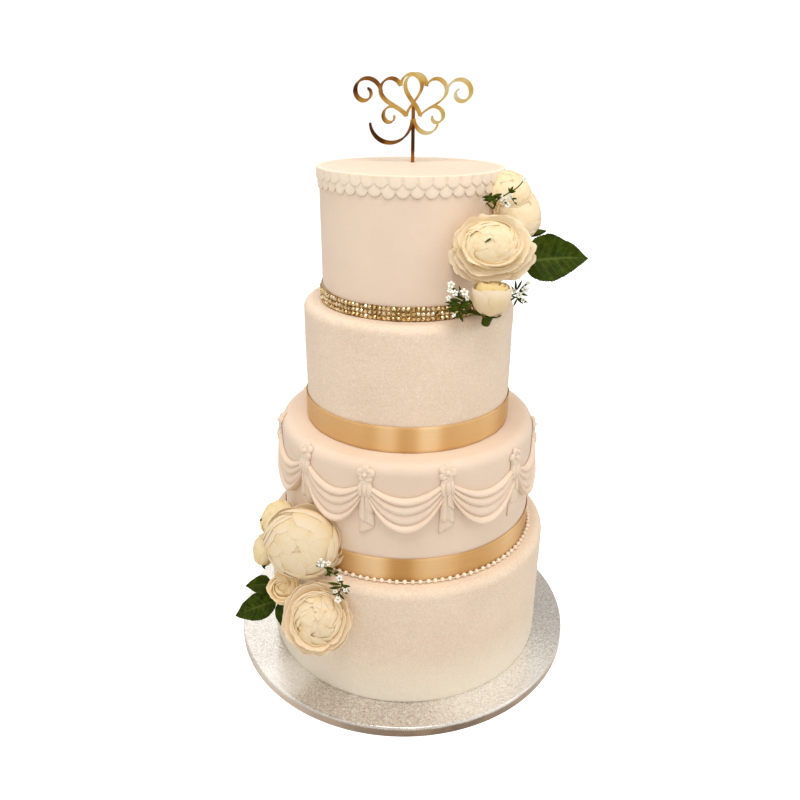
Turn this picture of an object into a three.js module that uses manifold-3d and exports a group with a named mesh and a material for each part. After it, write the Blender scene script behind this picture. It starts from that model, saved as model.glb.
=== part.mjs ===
// Four-tier wedding cake on a foil-covered drum board.
// Millimetres, +Z up. The origin is on the cake's axis at the underside of the board.
// Angles round the axis count from the front (-Y) towards the right (+X).
import * as THREE from "three";
import { mergeVertices } from "three/addons/utils/BufferGeometryUtils.js";
import Module from "manifold-3d";

const wasm = await Module();
wasm.setup();

// ---------------------------------------------------------------- sizes
const GAP = 0.3; // clearance between neighbouring pieces
const SIDES = 28; // sides of a turned piece

const BOARD_R = 178; // 14 inch drum board
const BOARD_H = 11;
const BOARD_X = -3; // the cake stands a little off the middle of its board
const BOARD_Y = 4;

const TIERS = [
  { name: "tier_1", r: 143, h: 127.5, shoulder: 8, colour: 0xe8d2b6, rough: 0.85 },
  { name: "tier_2", r: 125, h: 118, shoulder: 9, colour: 0xead3ba, rough: 0.6 },
  { name: "tier_3", r: 98.5, h: 115, shoulder: 8, colour: 0xecd6bd, rough: 0.85 },
  { name: "tier_4", r: 80.5, h: 117.5, shoulder: 3, colour: 0xeed9c0, rough: 0.6 },
];
const FOOT = 1.5; // small rounding at a tier's lower edge

const RIBBON_H = 25;
const RIBBON_T = 0.6;

const GEM_H = 13; // three rows of stones
const GEM_T = 2.6;

const PEARL_R = 2.2;

const SCALLOPS = 44; // in each of the two rows
const SCALLOP_STEPS = 3;
const SCALLOP_T = 0.95; // thickness of a row at its upper edge
const SCALLOP_RISE = 0.5; // the upper row stands above the top face
const SCALLOP_UPPER_TIP = 10; // below the top face
const SCALLOP_LOWER_TIP = 17.2;
const SCALLOP_NOTCH = 4.2; // height of the notch between two scallops

// the drops stand at uneven steps, as set by hand
const DROP_ANGLES = [-46.5, -16.3, 16.3, 52, 85, 123.6, 162.2, 200.8, 239.4, 278];
const DROP_DZ = [2.5, -1.5, 1, -5, -3, 0, 0, 0, 0, 1]; // and at uneven heights
const SWAG_END_Z = 231; // middle of the gathered ends
const SWAG_END_H = 13; // height of the gathered ends
const SWAG_SAG = 22; // the middle hangs lower than the ends
const SWAG_MID_H = 34;
const SWAG_RIDGES = 4;
const SWAG_T = 2.4; // thickness in the grooves
const SWAG_RIDGE_T = 2.6; // what a ridge adds
const SWAG_END_GAP = 5.8; // half the space taken by a drop, along the side
const DROP_TOP_Z = 239;
const DROP_BOTTOM_Z = 188;
const DROP_TOP_W = 8.6;
const DROP_BOTTOM_W = 15.5;
const DROP_T = 3.6;
const ROSETTE_R = 8.6;
const ROSETTE_H = 5;
const ROSETTE_Z = 248;

const TOPPER_T = 3; // sheet thickness
const TOPPER_X = 1.8;
const TOPPER_Y = 28;
const TOPPER_MID_Z = 541; // middle of the motif
const TOPPER_LINE = 3.2; // width of a line
const PICK_W = 3.2;
const PICK_DEPTH = 24; // how far the pick is pushed into the cake
const HEART_W = 40;
const HEART_Z = 6; // hearts above the middle of the motif
const HEART_X = 10; // half the distance between the hearts
const HEART_LEAN = 0.2;

// flowers: centre of the bloom, the way it faces, its radius, how open it is
const FLOWERS = [
  { name: "rose_a", at: [65.6, -84, 437], face: [-0.05, -0.88, 0.45], r: 36, open: 1, sides: 15 },
  { name: "rose_b", at: [93.2, -34, 457.5], face: [0.75, -0.4, 0.5], r: 25, open: 0.8, sides: 10 },
  { name: "rose_c", at: [82.3, -36, 474.5], face: [0.2, -0.5, 0.84], r: 20, open: 0.7, sides: 10 },
  { name: "rose_bud", at: [66.9, -91, 398.4], face: [0.03, -0.05, 1.0], r: 16, open: 0, sides: 10 },
  { name: "rose_d", at: [-94.2, -116, 170.7], face: [-0.05, -0.96, 0.27], r: 35, open: 1, sides: 15 },
  { name: "rose_e", at: [-78.6, -144, 110.6], face: [0.02, -0.85, 0.52], r: 31.8, open: 1, sides: 15 },
  { name: "rose_f", at: [-113.6, -116, 122.8], face: [-0.2, -0.72, 0.66], r: 17, open: 0.6, sides: 10 },
  { name: "rose_g", at: [-123.8, -76.5, 173.7], face: [-0.5, -0.45, 0.75], r: 18.5, open: 0.8, sides: 10 },
  { name: "rose_h", at: [-139.6, -75, 136.6], face: [-0.8, -0.45, 0.4], r: 15.5, open: 0.7, sides: 10 },
];

// leaves: base, tip, the way the upper side faces, greatest width, sag of the tip
const LEAVES = [
  { name: "leaf_1", base: [97, -58, 418], tip: [151, -52, 420.5], up: [0.15, -0.85, 0.5], w: 41, bend: 5 },
  { name: "leaf_2", base: [-130, -92, 108], tip: [-154, -94, 107], up: [-0.2, -0.75, 0.6], w: 18, bend: 2 },
  { name: "leaf_3", base: [-125, -101, 95], tip: [-166, -97, 73], up: [-0.2, -0.75, 0.6], w: 26, bend: 4 },
  { name: "leaf_4", base: [-119, -104, 95], tip: [-119, -105, 67], up: [-0.25, -0.9, 0.35], w: 11, bend: 2 },
];
const LEAF_T = 0.9;

// sprigs of tiny blossoms: middle, half sizes, lean about the view axis
const SPRIGS = [
  { name: "sprig_1", at: [41, -95, 399], half: [8, 6, 17], lean: -0.5 },
  { name: "sprig_2", at: [92, -74, 396], half: [9, 6, 14], lean: 0.5 },
  { name: "sprig_3", at: [72, -60, 472], half: [15, 6, 8], lean: 0.2 },
  { name: "sprig_4", at: [-65.5, -134, 145.8], half: [8, 7, 22], lean: -0.75 },
];

// ---------------------------------------------------------------- helpers
const rad = (deg) => (deg * Math.PI) / 180;

// Closed surface with shared vertices, positions only, facing out.
function closed(geometry) {
  const flat = geometry.index ? geometry.toNonIndexed() : geometry.clone();
  const only = new THREE.BufferGeometry().setAttribute("position", flat.getAttribute("position"));
  const merged = mergeVertices(only, 1e-3);
  const p = merged.getAttribute("position");
  const kept = [];
  let volume = 0;
  const a = new THREE.Vector3(), b = new THREE.Vector3(), c = new THREE.Vector3();
  for (let i = 0; i < merged.index.count; i += 3) {
    const [i0, i1, i2] = [0, 1, 2].map((k) => merged.index.getX(i + k));
    if (i0 === i1 || i1 === i2 || i2 === i0) continue;
    kept.push(i0, i1, i2);
    a.fromBufferAttribute(p, i0);
    b.fromBufferAttribute(p, i1);
    c.fromBufferAttribute(p, i2);
    volume += a.dot(b.cross(c));
  }
  if (volume < 0)
    for (let i = 0; i < kept.length; i += 3) [kept[i + 1], kept[i + 2]] = [kept[i + 2], kept[i + 1]];
  merged.setIndex(kept);
  return merged;
}

function toSolid(geometry) {
  const g = closed(geometry);
  return new wasm.Manifold(
    new wasm.Mesh({
      numProp: 3,
      vertProperties: new Float32Array(g.getAttribute("position").array),
      triVerts: new Uint32Array(g.index.array),
    }),
  );
}

function toGeometry(solid) {
  const m = solid.getMesh();
  const v = new Float32Array(m.numVert * 3);
  for (let i = 0; i < m.numVert; i++) v.set(m.vertProperties.subarray(i * m.numProp, i * m.numProp + 3), i * 3);
  return new THREE.BufferGeometry()
    .setAttribute("position", new THREE.BufferAttribute(v, 3))
    .setIndex(new THREE.BufferAttribute(new Uint32Array(m.triVerts), 1));
}

// The main body of what is left after a cut.
function mainBody(solid) {
  return solid.decompose().reduce((best, s) => (s.volume() > best.volume() ? s : best));
}

// Turned piece from a profile of [radius, height] points.
function turned(profile, sides = SIDES) {
  return new THREE.LatheGeometry(profile.map(([r, z]) => new THREE.Vector2(r, z)), sides).rotateX(Math.PI / 2);
}

// Ring from a profile that closes on itself.
function ring(profile, sides = SIDES) {
  return turned([...profile, profile[0]], sides);
}

function warped(geometry, map) {
  const p = geometry.getAttribute("position");
  const v = new THREE.Vector3();
  for (let i = 0; i < p.count; i++) {
    v.fromBufferAttribute(p, i);
    const [x, y, z] = map(v.x, v.y, v.z);
    p.setXYZ(i, x, y, z);
  }
  return geometry;
}

const around = (r, angle, z) => [r * Math.sin(angle), -r * Math.cos(angle), z];

function facing(geometry, at, face) {
  const q = new THREE.Quaternion().setFromUnitVectors(
    new THREE.Vector3(0, 0, 1),
    new THREE.Vector3(...face).normalize(),
  );
  return geometry.applyQuaternion(q).translate(...at);
}

const cake = new THREE.Group();
cake.name = "wedding_cake";

function add(name, geometry, colour, roughness, metalness = 0) {
  const g = closed(geometry);
  g.computeVertexNormals();
  const mesh = new THREE.Mesh(g, new THREE.MeshStandardMaterial({ color: colour, roughness, metalness }));
  mesh.name = name;
  cake.add(mesh);
  return mesh;
}

// ---------------------------------------------------------------- board and tiers
const board = add(
  "board",
  turned([
    [0, 0],
    [BOARD_R - 0.6, 0],
    [BOARD_R, 0.8],
    [BOARD_R, BOARD_H - 1],
    [BOARD_R - 1, BOARD_H],
    [0, BOARD_H],
  ]),
  0xcdbfae, 0.35, 0.6,
);
board.position.set(BOARD_X, BOARD_Y, 0);

let level = BOARD_H;
for (const t of TIERS) {
  t.z0 = level;
  t.z1 = level = level + t.h;
}
const [T1, T2, T3, T4] = TIERS;

function tierGeometry({ r, z0, z1, shoulder }) {
  const s = shoulder;
  return turned([
    [0, z0],
    [r - FOOT, z0],
    [r, z0 + FOOT],
    [r, z1 - s],
    [r - s * 0.3, z1 - s * 0.3],
    [r - s, z1],
    [0, z1],
  ]);
}

for (const t of TIERS) {
  if (t === T4) continue;
  add(t.name, tierGeometry(t), t.colour, t.rough);
}

// the top tier has a slit that holds the topper's pick
const slit = new THREE.BoxGeometry(PICK_W + 2 * GAP, TOPPER_T + 2 * GAP, PICK_DEPTH + GAP + 5);
slit.translate(TOPPER_X, TOPPER_Y, T4.z1 - (PICK_DEPTH + GAP) / 2 + 2.5);
add(T4.name, toGeometry(toSolid(tierGeometry(T4)).subtract(toSolid(slit))), T4.colour, T4.rough);

// ---------------------------------------------------------------- bands
for (const [name, t] of [["ribbon_tier_2", T2], ["ribbon_tier_3", T3]]) {
  const r0 = t.r + GAP, r1 = r0 + RIBBON_T;
  add(name, ring([[r0, t.z0], [r1, t.z0], [r1, t.z0 + RIBBON_H], [r0, t.z0 + RIBBON_H]]), 0xd2a46a, 0.35);
}

// band of stones
const gemIn = T4.r + GAP, gemOut = gemIn + GEM_T;
add(
  "gem_band",
  ring([[gemIn, T4.z0], [gemOut, T4.z0 + 0.6], [gemOut, T4.z0 + GEM_H - 0.6], [gemIn, T4.z0 + GEM_H]]),
  0xb79766, 0.2, 0.8,
);

// string of pearls at the foot of the second tier
const PEARL_RING_R = T2.r + GAP + RIBBON_T + GAP + PEARL_R;
add(
  "pearl_border",
  ring(
    Array.from({ length: 5 }, (_, i) => {
      const a = Math.PI / 2 + (i * 2 * Math.PI) / 5;
      return [PEARL_RING_R + PEARL_R * Math.cos(a), T2.z0 + PEARL_R + 0.05 + PEARL_R * Math.sin(a)];
    }),
  ),
  0xf2dfc4, 0.25,
);

// ---------------------------------------------------------------- scalloped frill
function scallopRow(rIn, top, tip, shift) {
  const g = ring([[rIn, top], [rIn + SCALLOP_T, top], [rIn + SCALLOP_T * 0.6, tip]], SCALLOPS * SCALLOP_STEPS);
  const pitch = (2 * Math.PI) / SCALLOPS;
  warped(g, (x, y, z) => {
    if (z > tip + 1e-6) return [x, y, z];
    const along = (((Math.atan2(x, -y) / pitch) % 1) + 1) % 1;
    const bow = Math.pow(Math.sin(Math.PI * along), 0.5);
    return [x, y, tip + SCALLOP_NOTCH * (1 - bow)];
  });
  return g.rotateZ(shift * pitch);
}
const LOWER_R = T4.r + GAP;
const UPPER_R = LOWER_R + SCALLOP_T + GAP;
add("scallop_lower", scallopRow(LOWER_R, T4.z1 - 3.4, T4.z1 - SCALLOP_LOWER_TIP, 0), 0xf2dec5, 0.6);
add("scallop_upper", scallopRow(UPPER_R, T4.z1 + SCALLOP_RISE, T4.z1 - SCALLOP_UPPER_TIP, 0.5), 0xf6e3cb, 0.6);

// ---------------------------------------------------------------- swags, drops and rosettes on the second tier
const SIDE_R = T2.r + GAP;

// Drape between two drops: a ridged section carried along a hanging arc.
function swagGeometry(a0, a1, dz0, dz1) {
  const s = new THREE.Shape();
  s.moveTo(0, 0);
  s.lineTo(1, 0);
  for (let i = SWAG_RIDGES * 2; i >= 0; i--)
    s.lineTo(i / (SWAG_RIDGES * 2), SWAG_T + (i % 2 ? SWAG_RIDGE_T * (1 - (0.25 * i) / (SWAG_RIDGES * 2)) : 0));
  s.closePath();
  const g = new THREE.ExtrudeGeometry(s, { steps: 5, depth: 1, bevelEnabled: false });
  return warped(g, (v, w, u) => {
    const hang = 1 - Math.pow(2 * u - 1, 2);
    const angle = a0 + (a1 - a0) * u;
    const h = SWAG_END_H + (SWAG_MID_H - SWAG_END_H) * hang;
    const z = SWAG_END_Z + dz0 + (dz1 - dz0) * u - SWAG_SAG * hang + h * (v - 0.5);
    return around(SIDE_R + w * (0.7 + 0.3 * hang), angle, z);
  });
}

// Pleated drop: narrow at the knot, flared and slanting at the hem.
function dropGeometry(a, dz) {
  const s = new THREE.Shape();
  const folds = [0.5, 1, 0.45, 0.9, 0.5];
  s.moveTo(-1, 0);
  s.lineTo(1, 0);
  folds.forEach((f, i) => s.lineTo(1 - (2 * i) / (folds.length - 1), f * DROP_T));
  s.closePath();
  const g = new THREE.ExtrudeGeometry(s, { steps: 2, depth: 1, bevelEnabled: false });
  return warped(g, (x, w, u) => {
    const half = (DROP_BOTTOM_W + (DROP_TOP_W - DROP_BOTTOM_W) * u) / 2;
    const hem = DROP_BOTTOM_Z + 4 * (x + 1);
    return around(SIDE_R + w, a + (x * half) / SIDE_R, dz + hem + (DROP_TOP_Z - hem) * u);
  });
}

// How far the second tier's rounded shoulder falls back from its side at a height.
function shoulderBack(z) {
  const up = Math.min(Math.max(z - (T2.z1 - T2.shoulder), 0), T2.shoulder * 0.98);
  return T2.shoulder - Math.sqrt(T2.shoulder ** 2 - up ** 2);
}

// Five-petal rosette, bent over the shoulder where it reaches that high.
function rosetteGeometry(a, dz) {
  const g = turned([[0, 0], [ROSETTE_R, 0.4], [ROSETTE_R * 0.55, ROSETTE_H], [0, ROSETTE_H * 0.7]], 10);
  warped(g, (x, y, z) => {
    const lobe = 1 + 0.13 * Math.cos(5 * Math.atan2(x, -y));
    return [x * lobe * 0.9, y * lobe * 0.9, z];
  });
  return warped(g, (x, y, z) => {
    const up = ROSETTE_Z + dz - y, out = SIDE_R + 0.5 + z - 0.4 * shoulderBack(up);
    return around(out, a + x / SIDE_R, up);
  });
}

DROP_ANGLES.forEach((deg, i) => {
  const next = i + 1 < DROP_ANGLES.length ? DROP_ANGLES[i + 1] : DROP_ANGLES[0] + 360;
  const inset = SWAG_END_GAP / SIDE_R;
  const dz = DROP_DZ[i], nextDz = DROP_DZ[(i + 1) % DROP_DZ.length];
  add("swag_" + (i + 1), swagGeometry(rad(deg) + inset, rad(next) - inset, dz, nextDz), 0xf2dcc4, 0.6);
  add("drop_" + (i + 1), dropGeometry(rad(deg), dz), 0xf0d9c0, 0.6);
  add("rosette_" + (i + 1), rosetteGeometry(rad(deg), dz), 0xf2dcc4, 0.6);
});

// ---------------------------------------------------------------- topper: linked hearts with scrolls
// A line of varying width along a curve in the sheet's plane.
function lineShape(curve, width, steps) {
  const left = [], right = [];
  for (let i = 0; i <= steps; i++) {
    const t = i / steps, e = 1e-3;
    const [x, z] = curve(t);
    const [x0, z0] = curve(Math.max(0, t - e)), [x1, z1] = curve(Math.min(1, t + e));
    const n = Math.hypot(x1 - x0, z1 - z0);
    const [nx, nz] = [-(z1 - z0) / n, (x1 - x0) / n];
    const h = width(t) / 2;
    left.push(new THREE.Vector2(x + nx * h, z + nz * h));
    right.push(new THREE.Vector2(x - nx * h, z - nz * h));
  }
  return new THREE.Shape([...right, ...left.reverse()]);
}

// Heart's middle line in its own frame, at the fraction t of its outline.
function heartLine(t, w) {
  const a = 2 * Math.PI * t;
  return [
    (16 * Math.pow(Math.sin(a), 3) * w) / 32,
    ((13 * Math.cos(a) - 5 * Math.cos(2 * a) - 2 * Math.cos(3 * a) - Math.cos(4 * a)) * w) / 32,
  ];
}

const leaned = ([x, z], cx, cz, lean) => [
  cx + x * Math.cos(lean) - z * Math.sin(lean),
  cz + x * Math.sin(lean) + z * Math.cos(lean),
];
const heartPoint = (t, w, cx, cz, lean) => leaned(heartLine(t, w), cx, cz, lean);

// Heart as a line of even width; each half keeps to its own side of the middle.
function heartShape(cx, cz, lean) {
  const n = 20, w = HEART_W - TOPPER_LINE;
  const outline = (offset) =>
    Array.from({ length: n }, (_, i) => {
      const t = -(i + 0.5) / n, e = 1e-3;
      const [x, z] = heartLine(t, w), [x0, z0] = heartLine(t - e, w), [x1, z1] = heartLine(t + e, w);
      const d = Math.hypot(x1 - x0, z1 - z0);
      const nx = x - (offset * (z1 - z0)) / d, nz = z + (offset * (x1 - x0)) / d;
      return new THREE.Vector2(...leaned([x > 0 ? Math.max(nx, 0.05) : Math.min(nx, -0.05), nz], cx, cz, lean));
    });
  const s = new THREE.Shape(outline(TOPPER_LINE / 2));
  s.holes.push(new THREE.Path(outline(-TOPPER_LINE / 2)));
  return s;
}

// Scroll: an arc that tightens towards its end.
const scroll = (cx, cz, r0, r1, a0, a1) => (t) => {
  const a = a0 + (a1 - a0) * t, r = r0 + (r1 - r0) * Math.pow(t, 0.8);
  return [cx + r * Math.cos(a), cz + r * Math.sin(a)];
};
const swell = (thin, thick) => (t) => thin + (thick - thin) * Math.sin(Math.PI * Math.min(1, 0.12 + t * 0.88));

const P = Math.PI;
// Scroll that starts on a heart's line, at the fraction t of its outline.
const scrollFrom = (heart, t, r0, r1, a0, a1) => {
  const [x, z] = heartPoint(t, HEART_W - TOPPER_LINE, heart * HEART_X, HEART_Z, -heart * HEART_LEAN);
  return scroll(x - r0 * Math.cos(a0), z - r0 * Math.sin(a0), r0, r1, a0, a1);
};
const TOPPER_LINES = [
  [scrollFrom(-1, 0.73, 14.5, 3.5, -0.05 * P, 2.35 * P), swell(2, 4), 15], // left scroll
  [scrollFrom(1, 0.27, 14, 3.5, 1.05 * P, -1.35 * P), swell(2, 4), 15], // right scroll
  [scrollFrom(-1, 0.62, 9.5, 3, 0.25 * P, 2.1 * P), swell(1.8, 3.4), 9], // left curl
  [scrollFrom(1, 0.38, 9.5, 3, 0.75 * P, -1.1 * P), swell(1.8, 3.4), 9], // right curl
  [scroll(-21.5, -17, 20.5, 17, 0.02 * P, -0.97 * P), swell(2, 4), 9], // long tail at the lower left
  [scroll(14.5, -17, 14, 7, 0.95 * P, 2.0 * P), swell(1.8, 3.6), 9], // lower right curl
];

function sheet(shape) {
  return toSolid(
    new THREE.ExtrudeGeometry(shape, { depth: TOPPER_T, bevelEnabled: false, curveSegments: 1 })
      .rotateX(Math.PI / 2)
      .translate(TOPPER_X, TOPPER_Y + TOPPER_T / 2, TOPPER_MID_Z),
  );
}

let topper = sheet(heartShape(-HEART_X, HEART_Z, HEART_LEAN)).add(sheet(heartShape(HEART_X, HEART_Z, -HEART_LEAN)));
for (const [curve, width, steps] of TOPPER_LINES) topper = topper.add(sheet(lineShape(curve, width, steps)));
const pickTop = TOPPER_MID_Z - 2, pickFoot = T4.z1 - PICK_DEPTH;
const pick = new THREE.BoxGeometry(PICK_W, TOPPER_T, pickTop - pickFoot);
pick.translate(TOPPER_X, TOPPER_Y, (pickTop + pickFoot) / 2);
topper = mainBody(topper.add(toSolid(pick)));
add("topper", toGeometry(topper), 0xd9a441, 0.12, 1);

// ---------------------------------------------------------------- flowers
// Space that the tiers and their bands take, with clearance.
function tierSpace() {
  const sides = 64, k = 1 / Math.cos(Math.PI / sides);
  const trim = SWAG_T + SWAG_RIDGE_T + 2;
  const band = GAP + GEM_T + GAP;
  const frill = UPPER_R + SCALLOP_T + GAP;
  return toSolid(
    turned(
      [
        [0, BOARD_H - 1],
        [T1.r + GAP, BOARD_H - 1],
        [T1.r + GAP, T1.z1 + GAP],
        [T2.r + trim, T1.z1 + GAP + 0.01],
        [T2.r + trim, T2.z1 + GAP],
        [T3.r + 2, T2.z1 + GAP + 0.01],
        [T3.r + 2, T3.z1 - 8],
        [T3.r + GAP, T3.z1 - 7.9],
        [T3.r + GAP, T3.z1 + GAP],
        [T4.r + band, T3.z1 + GAP + 0.01],
        [T4.r + band, T4.z0 + GEM_H + GAP],
        [T4.r + GAP, T4.z0 + GEM_H + GAP + 0.01],
        [T4.r + GAP, T4.z1 - SCALLOP_LOWER_TIP - GAP],
        [frill, T4.z1 - SCALLOP_LOWER_TIP - GAP + 0.01],
        [frill, T4.z1 + SCALLOP_RISE + GAP],
        [0, T4.z1 + SCALLOP_RISE + GAP + 0.01],
      ].map(([r, z]) => [r * k, z]),
      sides,
    ),
  );
}

// Bloom in its own frame: +Z is the way it faces. Rings of petal lips and the creases between them.
function bloomGeometry({ r, open, sides }, turn) {
  const lift = 1 - open;
  const rings =
    open > 0
      ? [
          [0, -0.55 - 0.2 * lift, 0, 0],
          [0.34, -0.48 - 0.2 * lift, 0, 0],
          [0.78, -0.16 - 0.1 * lift, 0.03, 0],
          [1.0, 0.02 + 0.1 * lift, 0.05, 0],
          [0.79, 0.1 + 0.2 * lift, 0.03, 0.3],
          [0.84, 0.27 + 0.25 * lift, 0.05, 0.6],
          [0.6, 0.25 + 0.25 * lift, 0.03, 0.9],
          [0.58, 0.43 + 0.3 * lift, 0.06, 1.3],
          [0.36, 0.34 + 0.3 * lift, 0.03, 1.6],
          [0.3, 0.48 + 0.32 * lift, 0.06, 2.1],
          [0, 0.4 + 0.3 * lift, 0, 0],
        ]
      : [
          [0, -1.45, 0, 0],
          [0.22, -1.4, 0, 0],
          [0.5, -1.0, 0.06, 0],
          [0.86, -0.55, 0.03, 0.3],
          [1.0, 0.0, 0.03, 0.5],
          [0.9, 0.45, 0.04, 0.9],
          [0.55, 0.85, 0.06, 1.4],
          [0.3, 0.75, 0.05, 1.9],
          [0.2, 0.9, 0.05, 2.4],
          [0, 0.8, 0, 0],
        ];
  const g = turned(rings.map(([x, z]) => [x * r, z * r]), sides);
  const tier = (x, z) =>
    rings.reduce((best, q) => (Math.hypot(q[0] * r - x, q[1] * r - z) < Math.hypot(best[0] * r - x, best[1] * r - z) ? q : best));
  return warped(g, (x, y, z) => {
    const q = tier(Math.hypot(x, y), z);
    const a = Math.atan2(x, -y);
    const k = 1 + q[2] * Math.cos(5 * (a + q[3] + turn));
    return [x * k, y * k, z + r * 0.6 * q[2] * Math.cos(5 * (a + q[3] + turn) + 1)];
  });
}

const space = tierSpace();
const taken = []; // pieces already placed in a cluster, grown by the clearance

// Piece grown a little about its own middle.
function grown(geometry, at, size) {
  const k = 1 + (1.5 * GAP) / size;
  return toSolid(geometry.clone().translate(-at[0], -at[1], -at[2]).scale(k, k, k).translate(...at));
}

function place(name, geometry, at, size, colour, roughness) {
  let solid = toSolid(geometry).subtract(space);
  for (const t of taken) solid = solid.subtract(t);
  const cut = toGeometry(mainBody(solid));
  add(name, cut, colour, roughness);
  taken.push(grown(geometry, at, size));
}

FLOWERS.forEach((f, i) => {
  const g = facing(bloomGeometry(f, i * 0.7), f.at, f.face);
  place(f.name, g, f.at, f.r * 0.5, i < 4 ? 0xf0dcb4 : 0xf3e6c2, 0.7);
});

// Leaf: pointed oval with a folded midrib, bending towards its tip.
for (const l of LEAVES) {
  const base = new THREE.Vector3(...l.base), along = new THREE.Vector3(...l.tip).sub(base);
  const length = along.length();
  along.normalize();
  const up = new THREE.Vector3(...l.up).addScaledVector(along, -along.dot(new THREE.Vector3(...l.up))).normalize();
  const side = new THREE.Vector3().crossVectors(up, along);
  const g = warped(new THREE.BoxGeometry(1, 2, 1, 6, 2, 1), (x, y, z) => {
    const u = x + 0.5;
    const half = Math.max(0.5, (l.w / 2) * Math.pow(Math.sin(Math.PI * Math.min(1, 0.04 + 0.96 * Math.pow(u, 0.85))), 0.85));
    const h = z * LEAF_T + Math.abs(y) * half * 0.22 - l.bend * u * u;
    const v = base.clone().addScaledVector(along, u * length).addScaledVector(side, y * half).addScaledVector(up, h);
    return [v.x, v.y, v.z];
  });
  const at = base.clone().addScaledVector(along, length / 2).toArray();
  place(l.name, closed(g), at, 9, 0x33461d, 0.4);
}

// Sprig: the outline of a small bunch of blossoms and needle leaves.
for (const s of SPRIGS) {
  const g = warped(new THREE.IcosahedronGeometry(1, 1), (x, y, z) => {
    const k = 1 + 0.12 * Math.sin(5 * x + 3 * z) * Math.cos(4 * y);
    return [x * k * s.half[0], y * k * s.half[1], z * k * s.half[2]];
  });
  g.rotateY(s.lean).translate(...s.at);
  place(s.name, g, s.at, 8, 0xcfd0a8, 0.7);
}

export default cake;
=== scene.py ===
import math

import bpy
import numpy as np
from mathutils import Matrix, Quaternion, Vector


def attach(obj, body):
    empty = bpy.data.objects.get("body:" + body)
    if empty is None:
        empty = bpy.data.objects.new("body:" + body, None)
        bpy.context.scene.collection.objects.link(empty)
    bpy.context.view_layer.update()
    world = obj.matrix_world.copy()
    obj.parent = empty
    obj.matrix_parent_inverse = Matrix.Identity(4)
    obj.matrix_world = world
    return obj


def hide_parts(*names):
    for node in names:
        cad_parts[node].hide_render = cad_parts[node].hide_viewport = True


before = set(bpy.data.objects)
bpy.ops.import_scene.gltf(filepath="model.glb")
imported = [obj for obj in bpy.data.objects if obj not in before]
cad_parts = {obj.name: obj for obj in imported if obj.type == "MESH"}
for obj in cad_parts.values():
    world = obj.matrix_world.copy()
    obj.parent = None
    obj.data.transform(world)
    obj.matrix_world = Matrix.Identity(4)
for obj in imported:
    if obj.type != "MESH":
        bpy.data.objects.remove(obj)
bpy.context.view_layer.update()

PI = math.pi

# ---------------------------------------------------------------- sizes, in millimetres, as in the part's source
BOARD_R, BOARD_H, BOARD_X, BOARD_Y = 178, 11, -3, 4
# name: radius, foot, top, shoulder radius
TIERS = {
    "tier_1": (143, 11, 138.5, 8),
    "tier_2": (125, 138.5, 256.5, 9),
    "tier_3": (98.5, 256.5, 371.5, 8),
    "tier_4": (80.5, 371.5, 489, 3),
}
RIBBON_H, RIBBON_T = 25, 0.6
GEM_Z, GEM_R, GEM_PITCH, GEM_COUNT = 371.5, 80.8, 4.15, 122
PEARL_R, PEARL_RING_R, PEARL_Z, PEARL_COUNT = 2.2, 128.4, 140.75, 115
SCALLOPS = 44
SIDE_R = 125.3
DROP_ANGLES = [-46.5, -16.3, 16.3, 52, 85, 123.6, 162.2, 200.8, 239.4, 278]
DROP_DZ = [2.5, -1.5, 1, -5, -3, 0, 0, 0, 0, 1]
SWAG_END_Z, SWAG_END_H, SWAG_SAG, SWAG_MID_H, SWAG_END_GAP = 231, 13, 22, 34, 5.8
TOPPER_X, TOPPER_Y, TOPPER_Z, TOPPER_T = 1.8, 28, 541, 3


# ---------------------------------------------------------------- mesh helpers
def grid(P, wrap_u=False, wrap_v=False):
    nu, nv = P.shape[:2]
    n = np.arange(nu * nv).reshape(nu, nv)
    if wrap_u:
        n = np.vstack([n, n[:1]])
    if wrap_v:
        n = np.hstack([n, n[:, :1]])
    q = np.stack([n[:-1, :-1], n[1:, :-1], n[1:, 1:], n[:-1, 1:]], -1).reshape(-1, 4)
    return P.reshape(-1, 3), q


def chunk(v, *faces, m=0, **values):
    n = len(v)
    return {
        "v": np.asarray(v, float),
        "f": [np.asarray(f, int) for f in faces if len(f)],
        "m": m,
        "a": {k: np.broadcast_to(np.asarray(x, float).reshape(-1), (n,)) if np.ndim(x) else np.full(n, float(x)) for k, x in values.items()},
    }


def fan(ring, centre, turn=False):
    ring = np.asarray(ring)
    nxt = np.roll(ring, -1)
    c = np.full(len(ring), centre)
    return np.stack([nxt, ring, c] if turn else [ring, nxt, c], -1)


def normals(P):
    du = np.gradient(P, axis=0)
    dv = np.gradient(P, axis=1)
    n = np.cross(du, dv)
    return n / np.maximum(np.linalg.norm(n, axis=-1, keepdims=True), 1e-9)


def shell(P, th, m=0, **values):
    """A closed sheet of thickness th around the grid of points P."""
    nu, nv = P.shape[:2]
    off = normals(P) * (np.asarray(th, float)[..., None] if np.ndim(th) else th) / 2
    v = np.concatenate([(P + off).reshape(-1, 3), (P - off).reshape(-1, 3)])
    f = np.arange(nu * nv).reshape(nu, nv)
    b = f + nu * nv

    def quads(n):
        return np.stack([n[:-1, :-1], n[1:, :-1], n[1:, 1:], n[:-1, 1:]], -1).reshape(-1, 4)

    sides = [
        np.stack([f[0, :-1], f[0, 1:], b[0, 1:], b[0, :-1]], -1),
        np.stack([f[-1, :-1], b[-1, :-1], b[-1, 1:], f[-1, 1:]], -1),
        np.stack([f[:-1, 0], b[:-1, 0], b[1:, 0], f[1:, 0]], -1),
        np.stack([f[:-1, -1], f[1:, -1], b[1:, -1], b[:-1, -1]], -1),
    ]
    both = {k: np.concatenate([np.broadcast_to(x, (nu, nv)).reshape(-1)] * 2) for k, x in values.items()}
    return chunk(v, quads(f), quads(b)[:, ::-1], *sides, m=m, **both)


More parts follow.
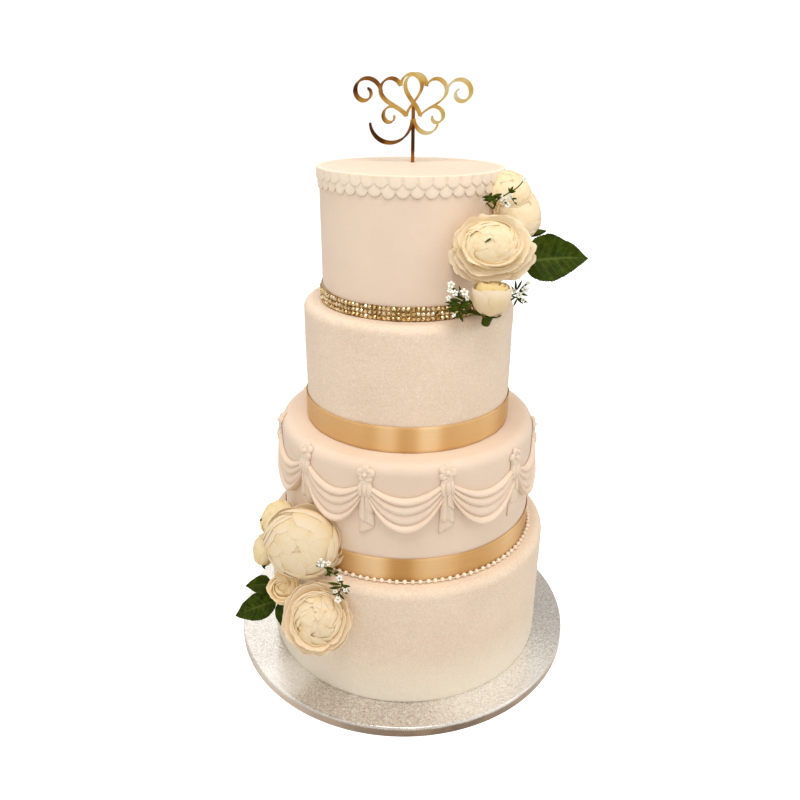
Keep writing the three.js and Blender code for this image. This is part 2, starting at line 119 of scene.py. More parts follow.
def tube(points, radii, sides=8, m=0, **values):
    p = np.asarray(points, float)
    r = np.broadcast_to(np.asarray(radii, float), (len(p),))
    d = np.gradient(p, axis=0)
    d /= np.maximum(np.linalg.norm(d, axis=1, keepdims=True), 1e-9)
    ref = np.array([0.0, 0, 1]) if abs(d[0, 2]) < 0.8 else np.array([1.0, 0, 0])
    a = np.cross(d, ref)
    a /= np.linalg.norm(a, axis=1, keepdims=True)
    b = np.cross(d, a)
    t = np.arange(sides) * 2 * PI / sides
    P = p[None] + r[None, :, None] * (np.cos(t)[:, None, None] * a[None] + np.sin(t)[:, None, None] * b[None])
    v, q = grid(P, wrap_u=True)
    k = len(p)
    first, last = np.arange(sides) * k, np.arange(sides) * k + k - 1
    v = np.concatenate([v, p[:1], p[-1:]])
    return chunk(v, q, fan(first, sides * k, True), fan(last, sides * k + 1), m=m, **values)


def smooth_path(points, n=24):
    p = np.asarray(points, float)
    p = np.concatenate([2 * p[:1] - p[1:2], p, 2 * p[-1:] - p[-2:-1]])
    out = []
    for i in range(1, len(p) - 2):
        t = np.linspace(0, 1, n, endpoint=False)[:, None]
        a, b, c, d = p[i - 1], p[i], p[i + 1], p[i + 2]
        out.append(0.5 * (2 * b + (c - a) * t + (2 * a - 5 * b + 4 * c - d) * t * t + (3 * b - a - 3 * c + d) * t ** 3))
    return np.concatenate(out + [p[-2:-1]])


def around(a, r, z):
    """Points at angle a from the front, radius r and height z."""
    a, r, z = np.broadcast_arrays(np.asarray(a, float), np.asarray(r, float), np.asarray(z, float))
    return np.stack([r * np.sin(a), -r * np.cos(a), z], -1)


def wall(a0, x, z, n, r=SIDE_R):
    """Points x along the wall of radius r from angle a0, at height z, standing out by n."""
    return around(a0 + np.asarray(x) / r, r + np.asarray(n), z)


def lathe(profile, segs, change=None, x=0.0, y=0.0, **values):
    """A closed turned solid. The profile runs from the foot's middle outwards, up, and back to the middle."""
    p = np.asarray(profile, float)
    a = np.arange(segs) * 2 * PI / segs
    r = np.broadcast_to(p[None, :, 0], (segs, len(p))).copy()
    z = np.broadcast_to(p[None, :, 1], (segs, len(p))).copy()
    A = np.broadcast_to(a[:, None], r.shape)
    if change:
        r, z = change(A, r, z)
    P = around(A, r, z) + np.array([x, y, 0])
    v, q = grid(P, wrap_u=True)
    k = len(p)
    n = len(v)
    v = np.concatenate([v, [[x, y, p[0, 1]]], [[x, y, float(z[:, -1].mean())]]])
    first, last = np.arange(segs) * k, np.arange(segs) * k + k - 1
    return chunk(v, q, fan(first, n, True), fan(last, n + 1), **values)


def piece(name, chunks, mats, node=None, sharp=None):
    """One object from chunks of points in millimetres. It rides on the root body, and may stand for a node."""
    V = np.concatenate([c["v"] for c in chunks])
    names = sorted({k for c in chunks for k in c["a"]})
    loops, starts, mids, at, off = [], [], [], 0, 0
    for c in chunks:
        for f in c["f"]:
            loops.append((f + off).ravel())
            starts.append(at + np.arange(len(f)) * f.shape[1])
            mids.append(np.full(len(f), c["m"]))
            at += f.size
        off += len(c["v"])
    L, S, M = np.concatenate(loops), np.concatenate(starts), np.concatenate(mids)
    me = bpy.data.meshes.new(name)
    me.vertices.add(len(V))
    me.vertices.foreach_set("co", (V * 0.001).astype(np.float32).ravel())
    me.loops.add(len(L))
    me.loops.foreach_set("vertex_index", L.astype(np.int32))
    me.polygons.add(len(S))
    me.polygons.foreach_set("loop_start", S.astype(np.int32))
    me.polygons.foreach_set("material_index", M.astype(np.int32))
    me.polygons.foreach_set("use_smooth", np.full(len(S), sharp != 0))
    for k in names:
        data = np.concatenate([c["a"].get(k, np.zeros(len(c["v"]))) for c in chunks])
        me.attributes.new(k, "FLOAT", "POINT").data.foreach_set("value", data.astype(np.float32))
    me.update(calc_edges=True)
    me.validate()
    if sharp:
        me.set_sharp_from_angle(angle=math.radians(sharp))
    for m in mats if isinstance(mats, (list, tuple)) else [mats]:
        me.materials.append(m)
    o = bpy.data.objects.new(name, me)
    bpy.context.scene.collection.objects.link(o)
    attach(o, "root")
    if node:
        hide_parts(*([node] if isinstance(node, str) else node))
    return o


# ---------------------------------------------------------------- material helpers
def lin(r, g, b):
    return tuple(c / 12.92 if c <= 0.04045 else ((c + 0.055) / 1.055) ** 2.4 for c in (r / 255, g / 255, b / 255)) + (1.0,)


class Mat:
    def __init__(self, name):
        self.m = bpy.data.materials.new(name)
        self.m.use_nodes = True
        self.t = self.m.node_tree
        self.t.nodes.clear()
        self.out = self.t.nodes.new("ShaderNodeOutputMaterial")
        self.b = self.t.nodes.new("ShaderNodeBsdfPrincipled")
        self.t.links.new(self.b.outputs[0], self.out.inputs[0])
        self.co = self.t.nodes.new("ShaderNodeTexCoord").outputs["Object"]

    def put(self, socket, value):
        if isinstance(value, bpy.types.NodeSocket):
            self.t.links.new(value, socket)
        else:
            socket.default_value = value

    def set(self, **values):
        for k, v in values.items():
            self.put(self.b.inputs[k.replace("_", " ")], v)
        return self

    def attr(self, name):
        n = self.t.nodes.new("ShaderNodeAttribute")
        n.attribute_name = name
        return n.outputs["Fac"]

    def noise(self, scale, detail=2.0, rough=0.5, vec=None):
        n = self.t.nodes.new("ShaderNodeTexNoise")
        self.put(n.inputs["Vector"], vec or self.co)
        n.inputs["Scale"].default_value = scale
        n.inputs["Detail"].default_value = detail
        n.inputs["Roughness"].default_value = rough
        return n.outputs["Fac"]

    def cells(self, scale, out="Distance", feature="F1", vec=None):
        n = self.t.nodes.new("ShaderNodeTexVoronoi")
        n.feature = feature
        self.put(n.inputs["Vector"], vec or self.co)
        n.inputs["Scale"].default_value = scale
        return n.outputs[out]

    def stretch(self, x, y, z, vec=None):
        n = self.t.nodes.new("ShaderNodeMapping")
        self.put(n.inputs["Vector"], vec or self.co)
        n.inputs["Scale"].default_value = (x, y, z)
        return n.outputs[0]

    def math(self, op, a, b=0.0, clamp=False):
        n = self.t.nodes.new("ShaderNodeMath")
        n.operation = op
        n.use_clamp = clamp
        self.put(n.inputs[0], a)
        self.put(n.inputs[1], b)
        return n.outputs[0]

    def range(self, v, a, b, c, d):
        n = self.t.nodes.new("ShaderNodeMapRange")
        self.put(n.inputs["Value"], v)
        for k, x in zip(("From Min", "From Max", "To Min", "To Max"), (a, b, c, d)):
            n.inputs[k].default_value = x
        return n.outputs[0]

    def ramp(self, fac, stops):
        n = self.t.nodes.new("ShaderNodeValToRGB")
        self.put(n.inputs[0], fac)
        e = n.color_ramp.elements
        while len(e) < len(stops):
            e.new(0.5)
        for k, (p, c) in zip(e, stops):
            k.position, k.color = p, c
        return n.outputs[0]

    def mix(self, fac, a, b, blend="MIX"):
        n = self.t.nodes.new("ShaderNodeMix")
        n.data_type = "RGBA"
        n.blend_type = blend
        self.put(n.inputs[0], fac)
        self.put(n.inputs[6], a)
        self.put(n.inputs[7], b)
        return n.outputs[2]

    def bump(self, height, strength, distance, normal=None):
        n = self.t.nodes.new("ShaderNodeBump")
        self.put(n.inputs["Height"], height)
        n.inputs["Strength"].default_value = strength
        n.inputs["Distance"].default_value = distance
        if normal:
            self.put(n.inputs["Normal"], normal)
        return n.outputs[0]


def icing_smooth(name, light, dark):
    m = Mat(name)
    blotch = m.ramp(m.noise(22, 3), [(0.32, lin(*dark)), (0.68, lin(*light))])
    fine = m.range(m.noise(900, 2), 0.3, 0.7, 0.0, 1.0)
    m.set(Base_Color=m.mix(0.06, blotch, m.ramp(fine, [(0.0, lin(190, 165, 140)), (1.0, lin(255, 240, 222))])))
    m.set(Roughness=m.range(m.noise(140, 2), 0.3, 0.7, 0.5, 0.62))
    n = m.bump(m.noise(120, 3), 0.18, 0.0006)
    m.set(Normal=m.bump(m.noise(1100, 2), 0.12, 0.0002, n))
    m.set(Subsurface_Weight=0.12, Subsurface_Scale=0.004, Subsurface_Radius=(1.0, 0.7, 0.45), Specular_IOR_Level=0.35)
    return m.m


def icing_grainy():
    m = Mat("icing_grainy")
    blotch = m.ramp(m.noise(26, 3), [(0.32, lin(234, 212, 188)), (0.68, lin(241, 219, 196))])
    grain = m.noise(620, 3, 0.6)
    speck = m.ramp(grain, [(0.36, lin(205, 178, 148)), (0.5, lin(240, 218, 192)), (0.66, lin(255, 244, 226))])
    colour = m.mix(0.2, blotch, speck)
    # painted bounce light: the lowest tier is painted lighter towards its foot, where the foil throws light back
    colour = m.mix(m.math("MULTIPLY", m.attr("foot"), 0.7), colour, lin(255, 247, 228))
    glint = m.math("GREATER_THAN", m.cells(520, "Color"), 0.86)
    m.set(Base_Color=m.mix(m.math("MULTIPLY", glint, 0.2), colour, lin(255, 246, 230)))
    m.set(Roughness=m.range(grain, 0.35, 0.65, 0.72, 0.42))
    n = m.bump(m.noise(420, 2, 0.6), 0.5, 0.0006)
    m.set(Normal=m.bump(grain, 0.5, 0.0004, n))
    m.set(Subsurface_Weight=0.1, Subsurface_Scale=0.003, Subsurface_Radius=(1.0, 0.7, 0.45), Specular_IOR_Level=0.4)
    return m.m


def satin():
    m = Mat("satin_ribbon")
    tone = m.attr("tone")
    warp = m.noise(1.0, 3, 0.6, m.stretch(30, 30, 2600))
    t = m.math("ADD", tone, m.range(warp, 0.3, 0.7, -0.04, 0.04))
    m.set(Base_Color=m.ramp(t, [(0.0, lin(158, 106, 46)), (0.3, lin(200, 150, 86)), (0.6, lin(228, 184, 126)), (1.0, lin(252, 224, 178))]))
    m.set(Roughness=m.range(warp, 0.3, 0.7, 0.46, 0.56))
    n = m.bump(warp, 0.2, 0.0002)
    m.set(Normal=m.bump(m.noise(60, 2), 0.1, 0.001, n))
    m.set(Sheen_Weight=0.08, Sheen_Roughness=0.4, Anisotropic=0.4, Specular_IOR_Level=0.3)
    return m.m


def foil():
    m = Mat("board_foil")
    side = m.attr("side")
    leaf = m.cells(420, "Distance", "SMOOTH_F1")
    grain = m.noise(520, 3, 0.65)
    top = m.ramp(grain, [(0.3, lin(190, 182, 173)), (0.5, lin(226, 220, 212)), (0.7, lin(252, 248, 243))])
    edge = m.ramp(m.noise(45, 3, 0.6), [(0.3, lin(96, 72, 50)), (0.7, lin(150, 122, 94))])
    # painted light on the edge: the foil's edge is painted lighter towards the sides
    edge = m.mix(m.attr("rim"), edge, lin(226, 208, 188))
    # painted highlight and painted shade on the top by direction: pale paints it lighter and less metallic, shade
    # paints it darker
    pale, shade = m.attr("pale"), m.attr("shade")
    top = m.mix(m.math("MULTIPLY", pale, 0.6), top, lin(255, 252, 247))
    top = m.mix(m.math("MULTIPLY", shade, 0.5), top, lin(150, 140, 130))
    m.set(Base_Color=m.mix(side, top, edge))
    metal = m.math("MULTIPLY", m.range(grain, 0.3, 0.7, 0.82, 0.62), m.range(pale, 0.0, 1.0, 1.0, 0.55))
    m.set(Metallic=m.math("MULTIPLY", metal, m.range(side, 0.0, 1.0, 1.0, 0.35)))
    m.set(Roughness=m.math("ADD", m.range(grain, 0.35, 0.65, 0.13, 0.24), m.math("MULTIPLY", side, 0.2)))
    n = m.bump(leaf, 0.2, 0.0003)
    m.set(Normal=m.bump(grain, 0.22, 0.0003, n))
    return m.m


def gems():
    m = Mat("gem_stones")
    tone = m.attr("tone")
    m.set(Base_Color=m.ramp(tone, [(0.0, lin(92, 64, 26)), (0.35, lin(150, 114, 62)), (0.65, lin(204, 168, 108)), (0.88, lin(240, 210, 156)), (1.0, lin(255, 246, 222))]))
    m.set(Metallic=0.85, Roughness=m.range(m.noise(700, 2), 0.3, 0.7, 0.08, 0.2))
    m.set(Normal=m.bump(m.noise(900, 2), 0.06, 0.0002))
    return m.m


def pearl():
    m = Mat("pearl")
    f = m.noise(160, 2)
    m.set(Base_Color=m.ramp(f, [(0.3, lin(250, 226, 196)), (0.7, lin(255, 244, 224))]))
    m.set(Roughness=m.range(m.noise(500, 2), 0.3, 0.7, 0.2, 0.3), Coat_Weight=0.5, Coat_Roughness=0.12, Sheen_Weight=0.2)
    m.set(Normal=m.bump(m.noise(700, 1), 0.05, 0.0002), Subsurface_Weight=0.1, Subsurface_Scale=0.002)
    return m.m


def gold():
    m = Mat("gold_sheet")
    tone = m.attr("tone")
    # painted reflection: the mirror gold is painted darker and lighter by each bar's tone and by noise
    painted_reflection = m.math("ADD", tone, m.range(m.noise(60, 1.5), 0.3, 0.7, -0.36, 0.36))
    m.set(Base_Color=m.ramp(painted_reflection, [(0.0, lin(96, 52, 20)), (0.25, lin(170, 110, 50)), (0.5, lin(224, 168, 76)), (0.75, lin(250, 210, 118)), (1.0, lin(255, 236, 184))]))
    m.set(Metallic=1.0, Roughness=m.range(m.noise(220, 2), 0.3, 0.7, 0.08, 0.16))
    m.set(Normal=m.bump(m.noise(90, 1), 0.04, 0.001))
    return m.m


def petals():
    m = Mat("petal")
    tone, tint, vein, lift = m.attr("tone"), m.attr("tint"), m.attr("vein"), m.attr("lift")
    pale = m.ramp(tone, [(0.0, lin(236, 209, 162)), (0.4, lin(240, 218, 183)), (0.75, lin(242, 223, 194)), (1.0, lin(243, 225, 199))])
    warm = m.ramp(tone, [(0.0, lin(230, 200, 120)), (0.4, lin(238, 215, 152)), (0.75, lin(241, 222, 172)), (1.0, lin(243, 225, 182))])
    c = m.mix(tint, pale, warm)
    comb = m.t.nodes.new("ShaderNodeCombineXYZ")
    m.put(comb.inputs[0], m.math("MULTIPLY", vein, 30.0))
    m.put(comb.inputs[1], m.math("MULTIPLY", tone, 2.0))
    lines = m.noise(1.0, 3, 0.6, comb.outputs[0])
    mott = m.noise(130, 3)
    c = m.mix(m.range(mott, 0.35, 0.7, 0.0, 0.12), c, lin(255, 244, 222))
    c = m.mix(m.range(lines, 0.35, 0.65, 0.09, 0.0), c, lin(226, 198, 140))
    # how light the bloom is painted: partly its own lightness, partly painted light and shade for where it sits
    m.set(Base_Color=m.mix(lift, (0, 0, 0, 1), c))
    m.set(Roughness=m.range(mott, 0.3, 0.7, 0.5, 0.62))
    m.set(Normal=m.bump(lines, 0.16, 0.0005, m.bump(mott, 0.1, 0.0006)))
    # a faint painted glow: the petals emit a little light of their own colour, to lift their shade
    m.set(Specular_IOR_Level=0.15, Emission_Color=lin(250, 222, 172), Emission_Strength=0.08)
    return m.m


def greens():
    m = Mat("leaf")
    tone, vein = m.attr("tone"), m.attr("vein")
    mott = m.noise(160, 3)
    c = m.ramp(mott, [(0.3, lin(36, 50, 3)), (0.55, lin(50, 65, 6)), (0.75, lin(70, 84, 12))])
    c = m.mix(m.math("MULTIPLY", vein, 0.4), c, lin(122, 136, 62))
    m.set(Base_Color=m.mix(tone, c, lin(100, 106, 26)))
    m.set(Roughness=m.range(mott, 0.3, 0.7, 0.5, 0.62))
    m.set(Normal=m.bump(m.noise(700, 2), 0.2, 0.0003), Specular_IOR_Level=0.06)
    return m.m


def blossoms():
    m = Mat("blossom")
    tone = m.attr("tone")
    c = m.ramp(tone, [(0.0, lin(72, 62, 24)), (0.18, lin(196, 190, 120)), (0.4, lin(246, 242, 228)), (1.0, lin(255, 252, 244))])
    m.set(Base_Color=m.mix(m.range(m.noise(600, 2), 0.4, 0.7, 0.0, 0.1), c, lin(226, 214, 178)))
    m.set(Roughness=m.range(m.noise(300, 2), 0.3, 0.7, 0.5, 0.62), Subsurface_Weight=0.2, Subsurface_Scale=0.002)
    m.set(Normal=m.bump(m.noise(800, 2), 0.1, 0.0002))
    return m.m


ICING_TOP = icing_smooth("icing_smooth", (239, 217, 195), (234, 211, 189))
ICING_MOULD = icing_smooth("icing_moulded", (241, 219, 197), (237, 214, 191))
ICING_FRILL = icing_smooth("icing_frill", (250, 231, 209), (246, 226, 203))
ICING_GRAIN = icing_grainy()
SATIN, FOIL, GEMS, PEARL, GOLD, PETAL, LEAF, BLOSSOM = satin(), foil(), gems(), pearl(), gold(), petals(), greens(), blossoms()


# ---------------------------------------------------------------- board
def arc(cx, cz, r, a0, a1, n):
    return [(cx + r * math.cos(a), cz + r * math.sin(a)) for a in np.linspace(a0, a1, n)]


def make_board():
    rng = np.random.default_rng(3)
    segs = 600
    R, H = BOARD_R, BOARD_H
    rings = [(60, 0.0), (R - 2.2, 0.0)] + arc(R - 1.4, 1.4, 1.4, -PI / 2, 0, 4)
    rings += [(R, z) for z in (3.5, 5.5, 7.5)] + arc(R - 1.8, H - 1.8, 1.8, 0, PI / 2, 5)
    rings += [(r, H) for r in np.linspace(R - 2.8, 139, 36)] + [(100, H), (40, H)]
    pr = np.array(rings)
    wob = sum(rng.normal(0, 0.1) * np.cos(k * np.arange(segs) * 2 * PI / segs + rng.uniform(0, 6)) for k in range(5, 60))
    emb = rng.normal(0, 1, (segs, len(pr)))
    emb = (emb + np.roll(emb, 1, 0) + np.roll(emb, 1, 1)) / 1.7

    def change(A, r, z):
        top = (z > H - 0.01) & (r < R - 2.5) & (r > 120)
        side = (z > 1) & (z < H - 1.0) & (r > R - 1.5)
        z = z - np.where(top, 0.08 + 0.04 * np.clip(emb, -1.6, 1.0), 0)
        r = r - np.where(side, 0.35 + 0.22 * np.clip(wob, -1.4, 1.4)[:, None], 0)
        return r, z

    side = np.concatenate([np.tile(np.where(pr[:, 1] < H - 2.5, 1.0, 0.0), segs), [1, 0]])
    c = lathe(pr, segs, change, BOARD_X, BOARD_Y)
    c["a"]["side"] = side
    # painted light and shade: the foil is painted lighter and darker in some directions, where it catches more or less
    # light
    d = np.degrees(np.arange(segs) * 2 * PI / segs)
    e = np.abs((d - 12 + 180) % 360 - 180)
    # painted light on the edge: lighter towards the sides, darker at the front and back
    rim = np.clip(0.1 + 0.9 * (np.minimum(e, 180 - e) / 55) ** 2, 0, 1)
    c["a"]["rim"] = np.concatenate([np.repeat(rim, len(pr)), [0, 0]])
    for key, painted_spots in (("pale", [(38, 25, 0.74), (-44, 9, 1.0)]), ("shade", [(98, 26, 0.6), (-26, 9, 0.4), (-2, 13, 0.3)])):
        t = sum(much * np.exp(-(np.abs((d - at + 180) % 360 - 180) / wide) ** 4) for at, wide, much in painted_spots)
        c["a"][key] = np.concatenate([np.repeat(np.clip(t, 0, 1), len(pr)), [0, 0]])
    piece("board_foil", [c], FOIL, "board")


# ---------------------------------------------------------------- tiers
def tier_profile(R, z0, z1, shoulder, step):
    pts = [(R * k, z0) for k in (0.3, 0.7)] + [(R - 1.5, z0)] + arc(R - 1.2, z0 + 1.2, 1.2, -PI / 2, 0, 4)[1:]
    zs = np.arange(z0 + 1.2 + step, z1 - shoulder - step * 0.5, step)
    pts += [(R, z) for z in zs]
    pts += arc(R - shoulder, z1 - shoulder, shoulder, 0, PI / 2, max(6, int(shoulder * 1.6 / step) + 2))
    inner = np.linspace(R - shoulder - step, max(R * 0.25, R - 50), max(8, int(40 / max(step, 1.5))))
    return np.array(pts + [(r, z1) for r in inner] + [(R * 0.12, z1)])


def make_tier(name, seed, grain, mat):
    rng = np.random.default_rng(seed)
    R, z0, z1, sh = TIERS[name]
    step = 2.0 if grain else 3.2
    segs = int(2 * PI * R / step)
    pr = tier_profile(R, z0, z1, sh, step)
    noise = rng.normal(0, 1, (segs, len(pr)))
    noise = (noise + 0.6 * (np.roll(noise, 1, 0) + np.roll(noise, 1, 1))) / 1.3
    waves = [(rng.integers(2, 9), rng.uniform(0.4, 2.6), rng.uniform(0, 6), rng.normal(0, 0.12)) for _ in range(9)]

    def change(A, r, z):
        t = (z - z0) / (z1 - z0)
        low = sum(w * np.cos(k * A + q + 6 * f * t) for k, f, q, w in waves)
        dev = np.clip(-0.3 + 0.5 * low, -0.7, 0.0)
        out = (z > z0 + 0.5) & (r > R * 0.6)
        on_top = (z > z1 - 0.01) & (r < R - sh - 0.1)
        r = r + np.where(out & ~on_top, dev + grain * np.clip(noise, -2, 1.4), 0)
        z = z + np.where(on_top, 0.5 * dev + grain * 0.7 * np.clip(noise, -2, 1), 0)
        if name == "tier_4":
            x, y = r * np.sin(A), -r * np.cos(A)
            crease = np.exp(-((y + 0.04 * x - 22 - 5 * np.sin(x / 34.0)) / 2.2) ** 2) * np.clip(1 - (x / 62) ** 2, 0, 1)
            z = z - np.where(on_top, 0.5 * crease, 0)
        return r, z

    c = lathe(pr, segs, change)
    if name == "tier_1":
        # painted bounce light: lighter towards the foot, where the foil throws light back
        c["a"]["foot"] = np.clip((72 - c["v"][:, 2]) / 55, 0, 1) ** 1.2
    piece(name + "_icing", [c], mat, name)


# ---------------------------------------------------------------- ribbons
def ribbon_tone_and_painted_light(a, seed, painted_spots, uneven):
    rng = np.random.default_rng(seed)
    d = np.degrees(a)
    t = 0.5 + sum(rng.normal(0, uneven) * np.cos(k * a + rng.uniform(0, 6)) for k in range(3, 15))
    # painted highlight and painted shade: bands where the satin catches or loses the light, laid on the random tone
    for at, wide, much in painted_spots:
        t = t + much * np.exp(-(np.abs((d - at + 180) % 360 - 180) / wide) ** 3)
    return np.clip(t, 0.02, 0.98)


def make_ribbon(tier, seed, painted_spots, uneven):
    R, z0 = TIERS[tier][0] + 0.3, TIERS[tier][1]
    segs = 420
    a = np.arange(segs) * 2 * PI / segs
    rng = np.random.default_rng(seed)
    ripple = sum(rng.normal(0, 0.05) * np.cos(k * a + rng.uniform(0, 6)) for k in range(8, 40))
    ripple = np.clip(0.12 + ripple, 0, 0.3)
    zs = np.linspace(0.15, RIBBON_H, 9)
    outer = [(RIBBON_T, z) for z in zs[1:-1]]
    loop = np.array([(0.18, zs[0])] + [(RIBBON_T - 0.12, zs[0] + 0.1)] + outer + [(RIBBON_T - 0.12, RIBBON_H - 0.1), (0.18, RIBBON_H)] + [(0.0, z) for z in zs[1:-1][::-1]])
    edge = 1 - 0.5 * np.exp(-((loop[:, 1] - RIBBON_H / 2) / 14) ** 8)
    rr = R + loop[None, :, 0] + ripple[:, None] * (loop[None, :, 0] > 0.01)
    zz = z0 + loop[None, :, 1] + 0.12 * np.cos(7 * a + seed)[:, None] * (loop[None, :, 1] > 12)
    v, q = grid(around(a[:, None], rr, zz), True, True)
    tone = ribbon_tone_and_painted_light(a, seed, painted_spots, uneven)[:, None] * np.ones(len(loop)) - 0.1 * (edge[None] - 0.5)
    o = piece("ribbon_of_" + tier, [chunk(v, q, tone=tone)], SATIN, "ribbon_" + tier)


# ---------------------------------------------------------------- gem band and pearl border
def make_gems():
    rng = np.random.default_rng(11)
    out = []
    a = np.arange(312) * 2 * PI / 312
    # the smooth backing shows above the stones at the left
    deg = (np.degrees(a) + 180) % 360 - 180
    taller = 3.4 * np.clip((-45 - deg) / 35, 0, 1) * np.clip((deg + 150) / 40, 0, 1)
    strip = np.array([(0.0, 0.2), (0.4, 0.2), (0.55, 0.5), (0.55, 12.0), (0.4, 12.4), (0.0, 12.5)])
    zz = GEM_Z + strip[None, :, 1] + taller[:, None] * (strip[None, :, 1] > 6)
    v, q = grid(around(a[:, None], GEM_R + strip[None, :, 0], zz), True, True)
    out.append(chunk(v, q, tone=0.55))
    k = 8
    t = np.arange(k) * 2 * PI / k + PI / k
    rings = [(1.35, 0.4), (2.02, 0.85), (1.96, 1.2), (1.1, 2.1)]
    for row in range(3):
        for i in range(GEM_COUNT):
            a0 = 2 * PI * i / GEM_COUNT
            spin = rng.uniform(-0.25, 0.25)
            lean = rng.normal(0, 0.07, 2)
            tone = 0.42 + 0.5 * rng.beta(3.0, 3.0)
            P = []
            for r, n in rings:
                x, z = r * np.cos(t + spin), 1.02 * r * np.sin(t + spin)
                P.append(wall(a0, x, GEM_Z + 2.2 + GEM_PITCH * row + z, n + lean[0] * x + lean[1] * z, GEM_R))
            P = np.array(P)
            v, q = grid(P.transpose(1, 0, 2), wrap_u=True)
            v = np.concatenate([v, [P[0].mean(0)], [P[-1].mean(0)]])
            first, last = np.arange(k) * 4, np.arange(k) * 4 + 3
            # painted highlight: each stone is painted darker low down and lighter towards its table
            tones = np.concatenate([np.clip(tone + rng.normal(0, 0.3, (k, 1)) + np.array([[-0.25, -0.2, 0.0, 0.14]]), 0, 1).ravel(), [tone, min(1, tone + 0.2)]])
            out.append(chunk(v, q, fan(first, 4 * k, True), fan(last, 4 * k + 1), tone=tones))
    # fine claws between the stones
    for row in range(4):
        for i in range(GEM_COUNT):
            a0 = 2 * PI * (i + 0.5) / GEM_COUNT
            z = GEM_Z + 0.75 + (GEM_PITCH - 0.3) * row
            t6 = np.arange(6) * PI / 3
            P = np.array([wall(a0, r * np.cos(t6), z + r * np.sin(t6), n, GEM_R) for r, n in ((0.7, 0.4), (0.55, 1.1), (0.22, 1.45))])
            v, q = grid(P.transpose(1, 0, 2), wrap_u=True)
            v = np.concatenate([v, [P[0].mean(0)], [P[-1].mean(0)]])
            f, l = np.arange(6) * 3, np.arange(6) * 3 + 2
            out.append(chunk(v, q, fan(f, 18, True), fan(l, 19), tone=rng.uniform(0.2, 0.75)))
    piece("gem_band_stones", out, GEMS, "gem_band", sharp=0)


def ball(c, r, n=14, rows=9, squash=1.0, **values):
    t = np.arange(n) * 2 * PI / n
    p = np.linspace(-PI / 2, PI / 2, rows + 2)[1:-1]
    P = np.stack([np.cos(t)[:, None] * np.cos(p), np.sin(t)[:, None] * np.cos(p), np.ones((n, 1)) * np.sin(p) * squash], -1) * r + np.asarray(c)
    v, q = grid(P, wrap_u=True)
    v = np.concatenate([v, [np.asarray(c) - [0, 0, r * squash]], [np.asarray(c) + [0, 0, r * squash]]])
    return chunk(v, q, fan(np.arange(n) * rows, n * rows, True), fan(np.arange(n) * rows + rows - 1, n * rows + 1), **values)


def make_pearls():
    rng = np.random.default_rng(5)
    out = []
    a = np.arange(720) * 2 * PI / 720
    ring = np.array([(0.5 * math.cos(t), 0.5 * math.sin(t)) for t in np.arange(8) * PI / 4])
    dip = 0.25 * np.abs(np.sin(a * PEARL_COUNT / 2))
    v, q = grid(around(a[:, None], PEARL_RING_R + ring[None, :, 0], PEARL_Z - 0.2 - dip[:, None] + ring[None, :, 1]), True, True)
    out.append(chunk(v, q))
    for i in range(PEARL_COUNT):
        a0 = 2 * PI * (i + rng.normal(0, 0.04)) / PEARL_COUNT
        r = PEARL_R * rng.uniform(0.93, 1.0)
        out.append(ball(around(a0, PEARL_RING_R + rng.normal(0, 0.12), PEARL_Z - PEARL_R + r), r, 12, 7))
    piece("pearl_string", out, PEARL, "pearl_border")


# ---------------------------------------------------------------- frill of scallops
def make_scallops(name, r_in, most, top, tip, notch, shift, seed, covered):
    rng = np.random.default_rng(seed)
    per = 16
    n = SCALLOPS * per
    i = np.arange(n)
    which = i // per
    x = (i % per + 0.5) / per * 2 - 1
    size = rng.normal(0, 0.35, SCALLOPS)[which]
    swell = rng.uniform(0.86, 1.06, SCALLOPS)[which]
    skew = rng.normal(0, 0.03, SCALLOPS)[which]
    a = 2 * PI * ((i + 0.5 + shift * per) / n) + skew * 2 * PI / SCALLOPS * (1 - x * x)
    drop = notch * (1 - np.sqrt(np.clip(1 - np.abs(x) ** 2.2, 0, 1)))
    zt = tip + drop + size * (1 - x * x)
    v = np.concatenate([[0.0, 0.012, 0.04, 0.08], np.linspace(0.14, 1, 9)])
    across = np.sqrt(np.clip(1 - np.abs(x) ** 3.0, 0, 1))
    lip = np.sqrt(np.clip(1 - (1 - np.minimum(v / 0.2, 1)) ** 2, 0, 1))
    dome = (0.1 + 0.9 * across[:, None]) * (0.25 + 0.75 * lip[None])
    blend = np.clip((v[None] - 0.5) / 0.4, 0, 1)
    dome = dome * (1 - blend) + blend * (0.4 if covered else 0.8)
    thick = most * swell[:, None] * dome
    Z = zt[:, None] + (top - zt[:, None]) * v[None]
    front = around(a[:, None], r_in + thick, Z)
    if covered:
        back = around(a[:, None], r_in - 0.2, Z[:, ::-1][:, ::3])
    else:
        # the upper row turns over the edge of the top
        cap = [(r_in + 0.35 * most, top + 0.12), (r_in - 1.4, top + 0.14), (r_in - 3.2, top + 0.06), (r_in - 3.9, top - 0.5), (r_in - 0.3, top - 3.2)]
        back = np.stack([around(a, r, z) for r, z in cap] + [around(a, r_in - 0.2, zt + (top - zt) * w) for w in (0.5, 0.25, 0.0)], 1)
    vv, q = grid(np.concatenate([front, back], 1), True, True)
    piece("frill_" + name, [chunk(vv, q)], ICING_FRILL, name)


# ---------------------------------------------------------------- swags, drops and rosettes
RIDGES = [(0.0, 0.19, 0.95), (0.19, 0.45, 1.0), (0.45, 0.77, 0.9), (0.77, 1.0, 1.3)]


